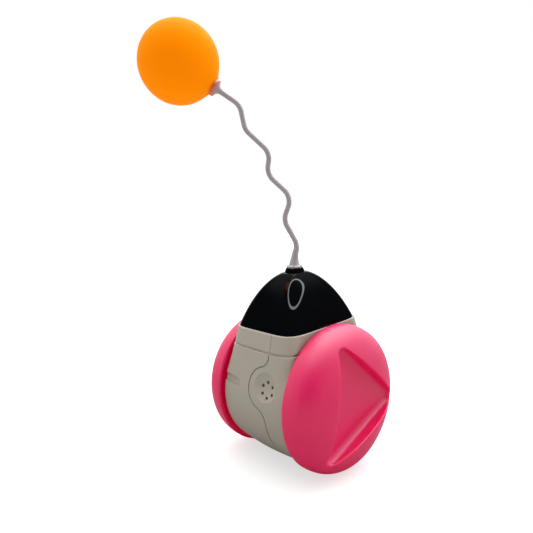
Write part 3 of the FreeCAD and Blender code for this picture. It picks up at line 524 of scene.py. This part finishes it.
class WheelForm:
    """The wheel's surface as a profile for each direction about the axle, in millimetres."""

    FLOOR_STEPS = 8
    FILLET_STEPS = 12
    EDGE_STEPS = 7
    DOME_STEPS = 26
    SECTOR_STEPS = 46
    CROWDING = 1.6
    LEAST_WALL = 0.45
    SEAT_BEVEL = 0.3

    def __init__(self, settings):
        self.s = settings
        self.rim_x = settings.inner_plane + settings.rim_round
        self.crown_x = self.rim_x + settings.dome_height
        self.floor_x = self.crown_x - settings.pocket_depth

    def directions(self):
        """Directions about the axle, closer together near the pocket's three corners."""
        found = []
        for corner in range(3):
            for index in range(-self.SECTOR_STEPS, self.SECTOR_STEPS):
                share = abs(index / self.SECTOR_STEPS) ** self.CROWDING
                offset = math.copysign(math.radians(60.0) * share, index)
                found.append((offset, self.s.pocket_turn + math.radians(120.0) * corner + offset))
        return found

    def dome_x(self, radius):
        share = min(1.0, radius / self.s.radius)
        power = self.s.dome_power
        return self.rim_x + self.s.dome_height * (1.0 - share ** power) ** (1.0 / power)

    def outline(self, offset, grow):
        """Distance to the rounded triangle, grown or shrunk, in one direction."""
        apothem = self.s.pocket_apothem - self.s.pocket_draft + grow
        corner = max(0.05, self.s.pocket_corner + grow)
        centre = 2.0 * (apothem - corner)
        turn = abs(offset)
        switch = math.atan2(corner * math.sin(math.radians(60.0)),
                            centre + corner * math.cos(math.radians(60.0)))
        if turn >= switch:
            return apothem / math.cos(math.radians(60.0) - turn)
        return centre * math.cos(turn) + math.sqrt(
            max(0.0, corner ** 2 - (centre * math.sin(turn)) ** 2))

    def pocket_point(self, offset, travel):
        """A point of the pocket's section: travel runs 0 to 1 over the fillet, then up the wall."""
        fillet = self.s.pocket_fillet
        if travel <= 1.0:
            turn = math.radians(90.0) * travel
            grow = -fillet * (1.0 - math.sin(turn))
            rise = fillet * (1.0 - math.cos(turn))
        else:
            rise = fillet + (travel - 1.0) * fillet
            grow = self.s.pocket_draft * (rise - fillet) / self.s.pocket_depth
        return self.outline(offset, grow), self.floor_x + rise

    def pocket_end(self, offset):
        """How far the pocket's section travels before it meets the dome."""
        low, high = 0.0, 4.0
        for _ in range(40):
            middle = (low + high) / 2.0
            radius, x = self.pocket_point(offset, middle)
            if x < self.dome_x(radius):
                low = middle
            else:
                high = middle
        return low

    def profile(self, offset):
        """Pairs of radius and x: pocket's floor, wall and edge, dome, rim and the disc's seat."""
        s = self.s
        flat = self.outline(offset, -s.pocket_fillet)
        points = [(flat * step / self.FLOOR_STEPS, self.floor_x)
                  for step in range(1, self.FLOOR_STEPS)]
        end = self.pocket_end(offset)
        edge_travel = max(end * self.LEAST_WALL, end - s.pocket_edge / s.pocket_fillet)
        for step in range(self.FILLET_STEPS + 1):
            points.append(self.pocket_point(offset, edge_travel * step / self.FILLET_STEPS))
        corner = self.pocket_point(offset, end)
        before = points[-1]
        reach = math.hypot(corner[0] - before[0], corner[1] - before[1])
        start = corner[0]
        slope = self.dome_slope(start)
        after_radius = start + min(reach, s.pocket_edge) / math.hypot(1.0, slope)
        after = (after_radius, self.dome_x(after_radius))
        for step in range(1, self.EDGE_STEPS + 1):
            t = step / self.EDGE_STEPS
            weights = ((1 - t) ** 2, 2 * t * (1 - t), t * t)
            points.append(tuple(weights[0] * before[axis] + weights[1] * corner[axis]
                                + weights[2] * after[axis] for axis in (0, 1)))
        opening = math.acos(min(1.0, (after_radius / s.radius) ** (s.dome_power / 2.0)))
        for step in range(1, self.DOME_STEPS + 1):
            turn = opening * (1.0 - step / self.DOME_STEPS)
            points.append((s.radius * math.cos(turn) ** (2.0 / s.dome_power),
                           self.rim_x + s.dome_height * math.sin(turn) ** (2.0 / s.dome_power)))
        back = [(radius, x) for x, radius in arc_steps(
            (self.rim_x, s.radius - s.rim_round), s.rim_round, 90.0, 180.0, 5)]
        points += back[1:]
        points.append((s.seat_radius + self.SEAT_BEVEL, s.inner_plane))
        points.append((s.seat_radius, s.inner_plane + self.SEAT_BEVEL))
        points.append((s.seat_radius, s.inner_plane + s.seat_depth))
        return points

    def dome_slope(self, radius):
        step = 0.01
        return (self.dome_x(radius + step) - self.dome_x(radius - step)) / (2.0 * step)

    def mesh(self, name, side):
        """side is 1 for the right wheel and -1 for its mirror image on the left."""
        lines = []
        for offset, direction in self.directions():
            across = Vector((0.0, math.cos(direction), math.sin(direction)))
            line = []
            for radius, x in self.profile(offset):
                point = across * radius + Vector((side * x, 0.0, AXLE_HEIGHT))
                line.append(point * MM)
            lines.append(line)
        rings = [list(ring) for ring in zip(*lines)]
        floor = Vector((side * self.floor_x, 0.0, AXLE_HEIGHT)) * MM
        back_x = self.s.inner_plane + self.s.seat_depth
        back = Vector((side * back_x, 0.0, AXLE_HEIGHT)) * MM
        return skin_rings(name, rings, floor, back, inward=side > 0)


# Hood

HOOD_SIZES = ("Half Width", "Half Depth", "Base Height", "Apex Height", "Neck Height",
              "Profile Power", "Rise Power", "Plan Power", "Neck Power", "Lean", "Axle Height")
HOOD_COLUMNS = 240
HOOD_ROWS = 44


def hood_tree():
    """A grid bent into the hood: its columns go round the neck and its rows climb to it."""
    tree, bench, given, result = form_tree("Hood Form", HOOD_SIZES)
    grid = bench.add("GeometryNodeMeshGrid", Size_X=1.0, Size_Y=1.0,
                     Vertices_X=HOOD_COLUMNS + 1, Vertices_Y=HOOD_ROWS + 1).outputs[0]
    spot = bench.add("GeometryNodeInputPosition").outputs[0]
    place = bench.add("ShaderNodeSeparateXYZ", Vector=spot)
    turn = bench.calc("MULTIPLY", bench.calc("ADD", place.outputs[0], 0.5), 2.0 * math.pi)
    row = bench.calc("MULTIPLY", bench.calc("ADD", place.outputs[1], 0.5), float(HOOD_ROWS))
    climb = bench.add("ShaderNodeClamp", Value=bench.calc(
        "DIVIDE", bench.calc("SUBTRACT", row, 1.0), float(HOOD_ROWS - 2))).outputs[0]
    height = bench.calc("SUBTRACT", given["Apex Height"], given["Base Height"])
    neck_share = bench.calc("DIVIDE", bench.calc(
        "SUBTRACT", given["Neck Height"], given["Base Height"]), height)
    half_power = bench.calc("DIVIDE", given["Rise Power"], 2.0)
    end = bench.calc("ARCSINE", bench.calc("POWER", neck_share, half_power))
    angle = bench.calc("MULTIPLY", climb, end)
    share = bench.calc("POWER", bench.calc("COSINE", angle),
                       bench.calc("DIVIDE", 2.0, given["Profile Power"]))
    level = bench.calc("MULTIPLY_ADD", height, bench.calc(
        "POWER", bench.calc("SINE", angle), bench.calc("DIVIDE", 2.0, given["Rise Power"])),
        given["Base Height"])
    power = bench.calc("MULTIPLY_ADD", bench.calc(
        "SUBTRACT", given["Neck Power"], given["Plan Power"]), bench.calc("POWER", climb, 2.0),
        given["Plan Power"])
    cosine = bench.calc("COSINE", turn)
    sine = bench.calc("SINE", turn)
    wide = bench.calc("POWER", bench.calc("ABSOLUTE", bench.calc(
        "DIVIDE", cosine, given["Half Width"])), power)
    deep = bench.calc("POWER", bench.calc("ABSOLUTE", bench.calc(
        "DIVIDE", sine, given["Half Depth"])), power)
    reach = bench.calc("POWER", bench.calc("ADD", wide, deep), bench.calc("DIVIDE", -1.0, power))
    open_row = bench.calc("MULTIPLY", bench.calc("GREATER_THAN", row, 0.5),
                          bench.calc("LESS_THAN", row, HOOD_ROWS - 0.5))
    radius = bench.calc("MULTIPLY", bench.calc("MULTIPLY", reach, share), open_row)
    across = bench.calc("MULTIPLY", radius, cosine)
    along = bench.calc("MULTIPLY", radius, sine)
    lean_cosine = bench.calc("COSINE", given["Lean"])
    lean_sine = bench.calc("SINE", given["Lean"])
    depth = bench.calc("SUBTRACT", bench.calc("MULTIPLY", along, lean_cosine),
                       bench.calc("MULTIPLY", level, lean_sine))
    rise = bench.calc("ADD", bench.calc("MULTIPLY", along, lean_sine),
                      bench.calc("MULTIPLY_ADD", level, lean_cosine, given["Axle Height"]))
    point = bench.add("ShaderNodeCombineXYZ", X=across, Y=depth, Z=rise).outputs[0]
    scaled = bench.add("ShaderNodeVectorMath", {"operation": "SCALE"}, i0=point, Scale=MM)
    bent = bench.add("GeometryNodeSetPosition", Geometry=grid,
                     Position=scaled.outputs[0]).outputs[0]
    merged = bench.add("GeometryNodeMergeByDistance", Geometry=bent, Distance=0.000001).outputs[0]
    finish_form(bench, merged, given, result)
    return tree


# Wand

WAND_SIZES = ("Rod Radius", "Bend Radius", "Foot Radius", "Foot Flare", "Tip Radius", "Tip Flare")
WAND_HEADING = math.radians(48.4)
BALL_PLACE = (51.8, 102.6)
WAND_LINE = ((0.0, 0.1), (0.0, 2.6), (-0.6, 7.0), (-2.1, 11.1), (4.5, 24.3), (-0.2, 35.2),
             (11.7, 47.2), (9.6, 57.3), (21.3, 69.2), (23.1, 80.8))
# How much the foot's cone and the tip's trumpet add to the rod at their ends, in millimetres
FOOT_GROWTH = 2.2
TIP_GROWTH = 11.0
# Distances along the wand over which the foot's rim ends and the painted orange glow of the ball on
# the tip fades
RIM_END = (1.5, 0.9)
BALL_GLOW_END = (2.8, 1.0)


def wand_place(out, up):
    """A point of the wand's plane, out from the neck's axis and up from its top."""
    return from_body(-out * math.sin(WAND_HEADING), -out * math.cos(WAND_HEADING), NECK_TOP + up)


def flare(bench, distance, rim, rod, growth, fall):
    """A rod that widens towards its end, up to the rim's radius."""
    gone = bench.calc("DIVIDE", bench.calc("MULTIPLY", distance, -1.0), fall)
    fade = bench.calc("EXPONENT", gone)
    return bench.calc("SMOOTH_MIN", rim, bench.calc("MULTIPLY_ADD", fade, growth, rod), 0.25)


def wand_tree():
    """Rounds the wand's line, then sweeps it with a radius that flares at both ends."""
    tree, bench, given, result = form_tree("Wand Form", WAND_SIZES)
    bend = bench.calc("MULTIPLY", given["Bend Radius"], MM)
    rounded = bench.add("GeometryNodeFilletCurve", {"mode": "POLY"}, Curve=given["Geometry"],
                        Count=14, Radius=bend, Limit_Radius=True).outputs[0]
    fine = bench.add("GeometryNodeResampleCurve", {"mode": "LENGTH"}, Curve=rounded,
                     Length=0.25 * MM).outputs[0]
    gone = bench.calc("DIVIDE", bench.add("GeometryNodeSplineParameter").outputs["Length"], MM)
    whole = bench.calc("DIVIDE", bench.add("GeometryNodeSplineLength").outputs["Length"], MM)
    left = bench.calc("SUBTRACT", whole, gone)
    cone = flare(bench, gone, given["Foot Radius"], given["Rod Radius"], FOOT_GROWTH,
                 given["Foot Flare"])
    rim = bench.calc("MULTIPLY", bench.ramp(gone, *RIM_END), given["Foot Radius"])
    foot = bench.calc("MAXIMUM", cone, rim)
    tip = flare(bench, left, given["Tip Radius"], given["Rod Radius"], TIP_GROWTH,
                given["Tip Flare"])
    radius = bench.calc("MULTIPLY", bench.calc("MAXIMUM", foot, tip), MM)
    # Stores the mask for the painted orange glow of the ball near the wand's tip.
    marked = bench.add("GeometryNodeStoreNamedAttribute", Geometry=fine, Name="painted_ball_glow",
                       Value=bench.ramp(left, *BALL_GLOW_END)).outputs[0]
    circle = bench.add("GeometryNodeCurvePrimitiveCircle", Resolution=28, Radius=1.0).outputs[0]
    swept = bench.add("GeometryNodeCurveToMesh", Curve=marked, Profile_Curve=circle, Scale=radius,
                      Fill_Caps=True).outputs[0]
    finish_form(bench, swept, given, result)
    return tree


def wand_line(tip_face):
    """The wand's line from the neck to its tip, with its bends still sharp."""
    curve = bpy.data.curves.new("wand line", "CURVE")
    curve.dimensions = "3D"
    points = [wand_place(*place) for place in WAND_LINE] + [tip_face]
    spline = curve.splines.new("POLY")
    spline.points.add(len(points) - 1)
    for point, place in zip(spline.points, points):
        point.co = (*place, 1.0)
    return curve


# Ball

BALL_COLUMNS = 128
BALL_ROWS = 72
MOUTH_ROWS = 6


def ball_frame(settings):
    """The ball's centre, the direction from its mouth to its crown, and the mouth's distance."""
    centre = wand_place(*BALL_PLACE)
    direction = (centre - wand_place(*WAND_LINE[-1])).normalized()
    cone = settings.cone_angle
    mouth = settings.radius / math.sin(cone) - settings.mouth_radius / math.tan(cone)
    return centre, direction, mouth


# Operators, one for each piece or group of like pieces


class WOBBLE_OT_wheels(Operator):
    """Dresses the two wheels and the bearings and screws in them"""

    bl_idname = "wobble.wheels"
    bl_label = "Wheels"

    def execute(self, context):
        settings = context.scene.wobble_wheels
        groups = shared_groups()
        pink, shader = moulded_plastic("wheel pink", settings.colour, settings.roughness, groups)
        # The emission is a painted red glow on the wheels and discs, in place of light that comes
        # through the plastic.
        set_values(shader, Subsurface_Weight=0.6, Subsurface_Radius=(1.0, 0.12, 0.2),
                   Subsurface_Scale=0.005, Specular_IOR_Level=0.78,
                   Emission_Color=(1.0, 0.0, 0.03, 1.0), Emission_Strength=settings.painted_glow)
        dress(pink, "right_wheel_cap", "left_wheel_cap", "right_wheel_disc", "left_wheel_disc")
        form = WheelForm(settings)
        for name, side in (("right_wheel", 1), ("left_wheel", -1)):
            mesh = form.mesh(name + "_dome", side)
            piece = make_object(name + "_dome", mesh, pink)
            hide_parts(name + "_cap")
            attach(piece, name)
        white, _ = moulded_plastic("bush white", srgb(228, 226, 218), 0.35, groups)
        dress(white, "right_wheel_bush", "left_wheel_bush", "thrust_washers")
        steel, _ = brushed_metal("screw steel", srgb(176, 176, 178), 0.32, groups)
        dress(steel, "right_disc_screws", "left_disc_screws")
        return {"FINISHED"}


class WOBBLE_OT_body(Operator):
    """Dresses the two shells and everything that they hold"""

    bl_idname = "wobble.body"
    bl_label = "Drum body"

    def execute(self, context):
        settings = context.scene.wobble_body
        groups = shared_groups()
        putty, _ = moulded_plastic("shell putty", settings.colour, settings.roughness, groups,
                                   scuffs=0.12)
        dress(putty, "left_body_shell", "right_body_shell")
        steel, _ = brushed_metal("weight steel", srgb(150, 150, 152), 0.4, groups)
        dress(steel, "counterweight", "axle", "end_washers", "end_screws", "shell_screws",
              "weight_screws", "module_screws", "speaker_can", "switch_pin")
        nickel, _ = brushed_metal("cell nickel", srgb(205, 202, 194), 0.18, groups)
        dress(nickel, "button_cells", "cell_contacts", "vibration_switch")
        black, _ = moulded_plastic("module black", srgb(28, 28, 30), 0.5, groups)
        dress(black, "sound_case", "sound_lid", "board_parts", "speaker_cone")
        green, _ = moulded_plastic("board green", srgb(30, 92, 52), 0.35, groups)
        dress(green, "circuit_board")
        red, _ = moulded_plastic("lead red", srgb(168, 30, 26), 0.4, groups)
        dress(red, "speaker_leads")
        rubber, _ = moulded_plastic("soft black", srgb(20, 20, 21), 0.45, groups)
        dress(rubber, "speaker_gasket")
        return {"FINISHED"}


class WOBBLE_OT_hood(Operator):
    """Dresses the glossy hood and the grommet in its neck"""

    bl_idname = "wobble.hood"
    bl_label = "Hood"

    def execute(self, context):
        settings = context.scene.wobble_hood
        groups = shared_groups()
        gloss, shader = moulded_plastic("hood gloss", settings.colour, settings.roughness,
                                        groups, depth=0.02, mottle=0.1, patchiness=0.001,
                                        scuffs=0.0, bump=0.01)
        set_values(shader, IOR=1.5, Specular_IOR_Level=0.4)
        dress(gloss, "neck_grommet")
        sizes = (settings.half_width, settings.half_depth, settings.base_height,
                 settings.apex_height, settings.neck_height, settings.profile_power,
                 settings.rise_power, settings.plan_power, settings.neck_power, BODY_LEAN,
                 AXLE_HEIGHT)
        values = dict(zip(HOOD_SIZES, sizes), Material=gloss)
        mesh = grown_mesh("hood_dome", bpy.data.meshes.new("hood_seed"), hood_tree(), values)
        piece = make_object("hood_dome", mesh, gloss)
        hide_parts("hood_cover")
        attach(piece, "body")
        return {"FINISHED"}


class WOBBLE_OT_wand(Operator):
    """Makes the springy wand with its flared foot and tip"""

    bl_idname = "wobble.wand"
    bl_label = "Wand"

    def execute(self, context):
        settings = context.scene.wobble_wand
        groups = shared_groups()
        pale, shader = moulded_plastic("wand pale", settings.colour, settings.roughness, groups)
        set_values(shader, Specular_IOR_Level=1.0)
        # Paints the ball's orange light onto the wand near its tip.
        paint_light_towards(pale, shader, "painted_ball_glow", settings.painted_tip_glow)
        centre, direction, mouth = ball_frame(context.scene.wobble_ball)
        line = wand_line(centre - direction * mouth * MM)
        sizes = (settings.rod_radius, settings.bend_radius, settings.foot_radius,
                 settings.foot_flare, settings.tip_radius, settings.tip_flare)
        values = dict(zip(WAND_SIZES, sizes), Material=pale)
        mesh = grown_mesh("wand_spring", line, wand_tree(), values)
        piece = make_object("wand_spring", mesh, pale)
        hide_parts("wand_foot", "wand_rod")
        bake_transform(piece)
        return {"FINISHED"}


class WOBBLE_OT_ball(Operator):
    """Makes the light ball at the wand's tip"""

    bl_idname = "wobble.ball"
    bl_label = "Ball"

    def execute(self, context):
        settings = context.scene.wobble_ball
        groups = shared_groups()
        orange, shader = moulded_plastic("ball orange", settings.colour, settings.roughness,
                                         groups)
        # The emission is a painted red glow on the ball, in place of light that comes through its
        # skin.
        set_values(shader, Subsurface_Weight=0.15, Subsurface_Radius=(1.0, 0.5, 0.1),
                   Subsurface_Scale=0.006, Specular_IOR_Level=0.015,
                   Emission_Color=(1.0, 0.0, 0.0, 1.0), Emission_Strength=settings.painted_glow)
        piece = make_object("ball_skin", self.skin(settings), orange, 55.0)
        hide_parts("ball")
        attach(piece, "wand")
        return {"FINISHED"}

    def skin(self, settings):
        """A round skin that runs straight down to a short mouth, turned about its axis."""
        centre, direction, mouth = ball_frame(settings)
        turn = direction.to_track_quat("Z", "Y")
        start = -math.degrees(settings.cone_angle)
        profile = [(settings.mouth_radius * share, -mouth) for share in (0.5, 0.9)]
        meet = arc_steps((0.0, 0.0), settings.radius, start, start + 1.0, 1)[0]
        for step in range(MOUTH_ROWS + 1):
            share = step / MOUTH_ROWS
            profile.append((settings.mouth_radius + (meet[0] - settings.mouth_radius) * share,
                            -mouth + (meet[1] + mouth) * share))
        profile += arc_steps((0.0, 0.0), settings.radius, start, 88.0, BALL_ROWS)[1:]
        rings = []
        for radius, level in profile:
            ring = []
            for index in range(BALL_COLUMNS):
                angle = 2.0 * math.pi * index / BALL_COLUMNS
                spot = Vector((radius * math.cos(angle), radius * math.sin(angle), level))
                ring.append(centre + turn @ spot * MM)
            rings.append(ring)
        first = centre + turn @ Vector((0.0, 0.0, -mouth)) * MM
        last = centre + turn @ Vector((0.0, 0.0, settings.radius)) * MM
        return skin_rings("ball_skin", rings, first, last)


CAMERA_PLACE = (0.16226, -0.17491, 0.12177)
CAMERA_DOWN = math.radians(5.65)
CAMERA_TURN = math.radians(47.05)
FLOOR_REACH = 3.0
FLOOR_GREY = 0.48
FLOOR_MIRRORED = 0.25
# The side of the room that the camera looks at, and how bright mirror finishes see it
BACKDROP = (-0.732, 0.681)
BACKDROP_EDGE = (-0.72, -0.93)
BACKDROP_LIGHT = 0.9
# A faint veil that mirror finishes see high up on that side
HAZE_SIDE = (0.1, -0.35)
HAZE_HEIGHT = (0.5, 0.75)
HAZE_LIGHT = 0.15
CEILING_TILT = (-0.28, 0.14)
# The ring lamp's centre and half sizes towards the camera and across, as slopes from the toy
RING_PLACE = (0.21, 0.41)
RING_REACH = (0.51, 0.82)
RING_SLANT = 0.3
RING_HALF_WIDTH = 0.08
RING_SHARE = 0.2


class WOBBLE_OT_stage(Operator):
    """Makes the floor, the room's light and the camera"""

    bl_idname = "wobble.stage"
    bl_label = "Floor, light and camera"

    def execute(self, context):
        settings = context.scene.wobble_stage
        self.make_floor(settings)
        self.make_room(context, settings)
        data = bpy.data.cameras.new("camera")
        data.sensor_width = 36.0
        data.lens = settings.lens
        data.clip_start = 0.01
        camera = bpy.data.objects.new("camera", data)
        camera.location = CAMERA_PLACE
        camera.rotation_euler = (math.radians(90.0) - CAMERA_DOWN, 0.0, CAMERA_TURN)
        context.scene.collection.objects.link(camera)
        context.scene.camera = camera
        context.scene.view_settings.view_transform = "Standard"
        return {"FINISHED"}

    def make_floor(self, settings):
        """A pale floor that keeps the shadow and fades into the white background."""
        mesh = bpy.data.meshes.new("floor")
        corners = [(x * FLOOR_REACH, y * FLOOR_REACH, 0.0)
                   for x, y in ((-1, -1), (1, -1), (1, 1), (-1, 1))]
        mesh.from_pydata(corners, [], [(0, 1, 2, 3)])
        floor = bpy.data.objects.new("floor", mesh)
        bpy.context.scene.collection.objects.link(floor)
        material, bench, shader, _ = start_material("floor white")
        rays = bench.add("ShaderNodeLightPath").outputs
        bench.feed(shader.inputs["Base Color"], bench.calc(
            "MULTIPLY_ADD", rays["Is Glossy Ray"], FLOOR_MIRRORED - FLOOR_GREY, FLOOR_GREY))
        set_values(shader, Roughness=0.9, Specular_IOR_Level=0.0,
                   Emission_Color=(1.0, 1.0, 1.0, 1.0))
        bench.feed(shader.inputs["Emission Strength"], bench.calc(
            "MULTIPLY", rays["Is Camera Ray"], settings.glow))
        mesh.materials.append(material)

    def make_room(self, context, settings):
        """The light: soft for dull surfaces, a darker room with a ring lamp for mirror finishes."""
        world = bpy.data.worlds.new("room")
        context.scene.world = world
        world.use_nodes = True
        world.node_tree.nodes.clear()
        bench = NodeBench(world.node_tree)
        direction = bench.add("ShaderNodeTexCoord").outputs["Generated"]
        split = bench.add("ShaderNodeSeparateXYZ", Vector=direction).outputs
        height = bench.calc("MAXIMUM", split[2], 0.001)
        facing = bench.calc("ADD", bench.calc("MULTIPLY", split[0], -BACKDROP[0]),
                            bench.calc("MULTIPLY", split[1], -BACKDROP[1]))
        aside = bench.calc("SUBTRACT", bench.calc("MULTIPLY", split[1], -BACKDROP[0]),
                           bench.calc("MULTIPLY", split[0], -BACKDROP[1]))
        ring = self.ring_lamp(bench, facing, aside, height, settings)
        front = bench.calc("POWER", bench.calc("MAXIMUM", facing, 0.0), 2.0)
        around = bench.calc("SUBTRACT", bench.calc("SUBTRACT", 1.0, front),
                            bench.calc("POWER", height, 2.0))
        tilted = bench.calc("MULTIPLY_ADD", facing, CEILING_TILT[0], bench.calc(
            "MULTIPLY_ADD", aside, CEILING_TILT[1], split[2]))
        overhead = bench.calc("MAXIMUM", tilted, 0.0)
        above = bench.calc("MULTIPLY_ADD", height, settings.sky, bench.calc(
            "MULTIPLY", bench.calc("POWER", overhead, 4.0), settings.ceiling))
        soft = bench.calc("ADD", bench.calc("MULTIPLY_ADD", around, settings.wall, above),
                          bench.calc("MULTIPLY", ring, RING_SHARE))
        haze = bench.calc("MULTIPLY", bench.ramp(facing, *HAZE_SIDE),
                          bench.ramp(height, *HAZE_HEIGHT))
        mirrored = bench.calc("MULTIPLY_ADD", bench.ramp(facing, *BACKDROP_EDGE), BACKDROP_LIGHT,
                              bench.calc("MULTIPLY_ADD", haze, HAZE_LIGHT, ring))
        rays = bench.add("ShaderNodeLightPath").outputs
        shown = bench.calc("MAXIMUM", rays["Is Camera Ray"], rays["Is Transmission Ray"])
        lit = bench.add("ShaderNodeMix", {"data_type": "FLOAT"}, Factor=rays["Is Singular Ray"],
                        A=soft, B=mirrored).outputs[0]
        strength = bench.add("ShaderNodeMix", {"data_type": "FLOAT"}, Factor=shown,
                             A=lit, B=1.0).outputs[0]
        room = bench.add("ShaderNodeBackground", Color=(1.0, 1.0, 1.0, 1.0), Strength=strength)
        output = bench.add("ShaderNodeOutputWorld")
        bench.feed(output.inputs["Surface"], room.outputs[0])

    def ring_lamp(self, bench, facing, aside, height, settings):
        """A ring lamp far above, as a band about one point of the ceiling."""
        ahead = bench.calc("SUBTRACT", bench.calc("DIVIDE", facing, height), RING_PLACE[0])
        across = bench.calc("SUBTRACT", bench.calc("DIVIDE", aside, height), RING_PLACE[1])
        slanted = bench.calc("MULTIPLY_ADD", ahead, RING_SLANT, across)
        reach = [bench.calc("POWER", bench.calc("DIVIDE", offset, size), 2.0)
                 for offset, size in zip((ahead, slanted), RING_REACH)]
        away = bench.calc("ABSOLUTE", bench.calc(
            "SUBTRACT", bench.calc("SQRT", bench.calc("ADD", *reach)), 1.0))
        band = bench.ramp(away, RING_HALF_WIDTH * 1.2, RING_HALF_WIDTH * 0.8)
        above = bench.calc("GREATER_THAN", height, 0.05)
        return bench.calc("MULTIPLY", bench.calc("MULTIPLY", band, above), settings.ring_strength)


class WOBBLE_PT_sidebar(Panel):
    """Lists the settings and the pieces of the wobble toy"""

    bl_idname = "WOBBLE_PT_sidebar"
    bl_label = "Wobble Toy"
    bl_space_type = "VIEW_3D"
    bl_region_type = "UI"
    bl_category = "Wobble Toy"

    def draw(self, context):
        for operator, _, group in PIECES:
            self.layout.operator(operator.bl_idname)
            settings = getattr(context.scene, group)
            for name in settings.__annotations__:
                self.layout.prop(settings, name)


PIECES = (
    (WOBBLE_OT_wheels, WheelSettings, "wobble_wheels"),
    (WOBBLE_OT_body, BodySettings, "wobble_body"),
    (WOBBLE_OT_hood, HoodSettings, "wobble_hood"),
    (WOBBLE_OT_wand, WandSettings, "wobble_wand"),
    (WOBBLE_OT_ball, BallSettings, "wobble_ball"),
    (WOBBLE_OT_stage, StageSettings, "wobble_stage"),
)


def register():
    for operator, settings, name in PIECES:
        bpy.utils.register_class(settings)
        bpy.utils.register_class(operator)
        setattr(bpy.types.Scene, name, PointerProperty(type=settings))
    bpy.utils.register_class(WOBBLE_PT_sidebar)


def unregister():
    bpy.utils.unregister_class(WOBBLE_PT_sidebar)
    for operator, settings, name in reversed(PIECES):
        delattr(bpy.types.Scene, name)
        bpy.utils.unregister_class(operator)
        bpy.utils.unregister_class(settings)


def main():
    register()
    bpy.ops.wobble.wheels()
    bpy.ops.wobble.body()
    bpy.ops.wobble.hood()
    bpy.ops.wobble.wand()
    bpy.ops.wobble.ball()
    bpy.ops.wobble.stage()


if __name__ == "__main__":
    main()
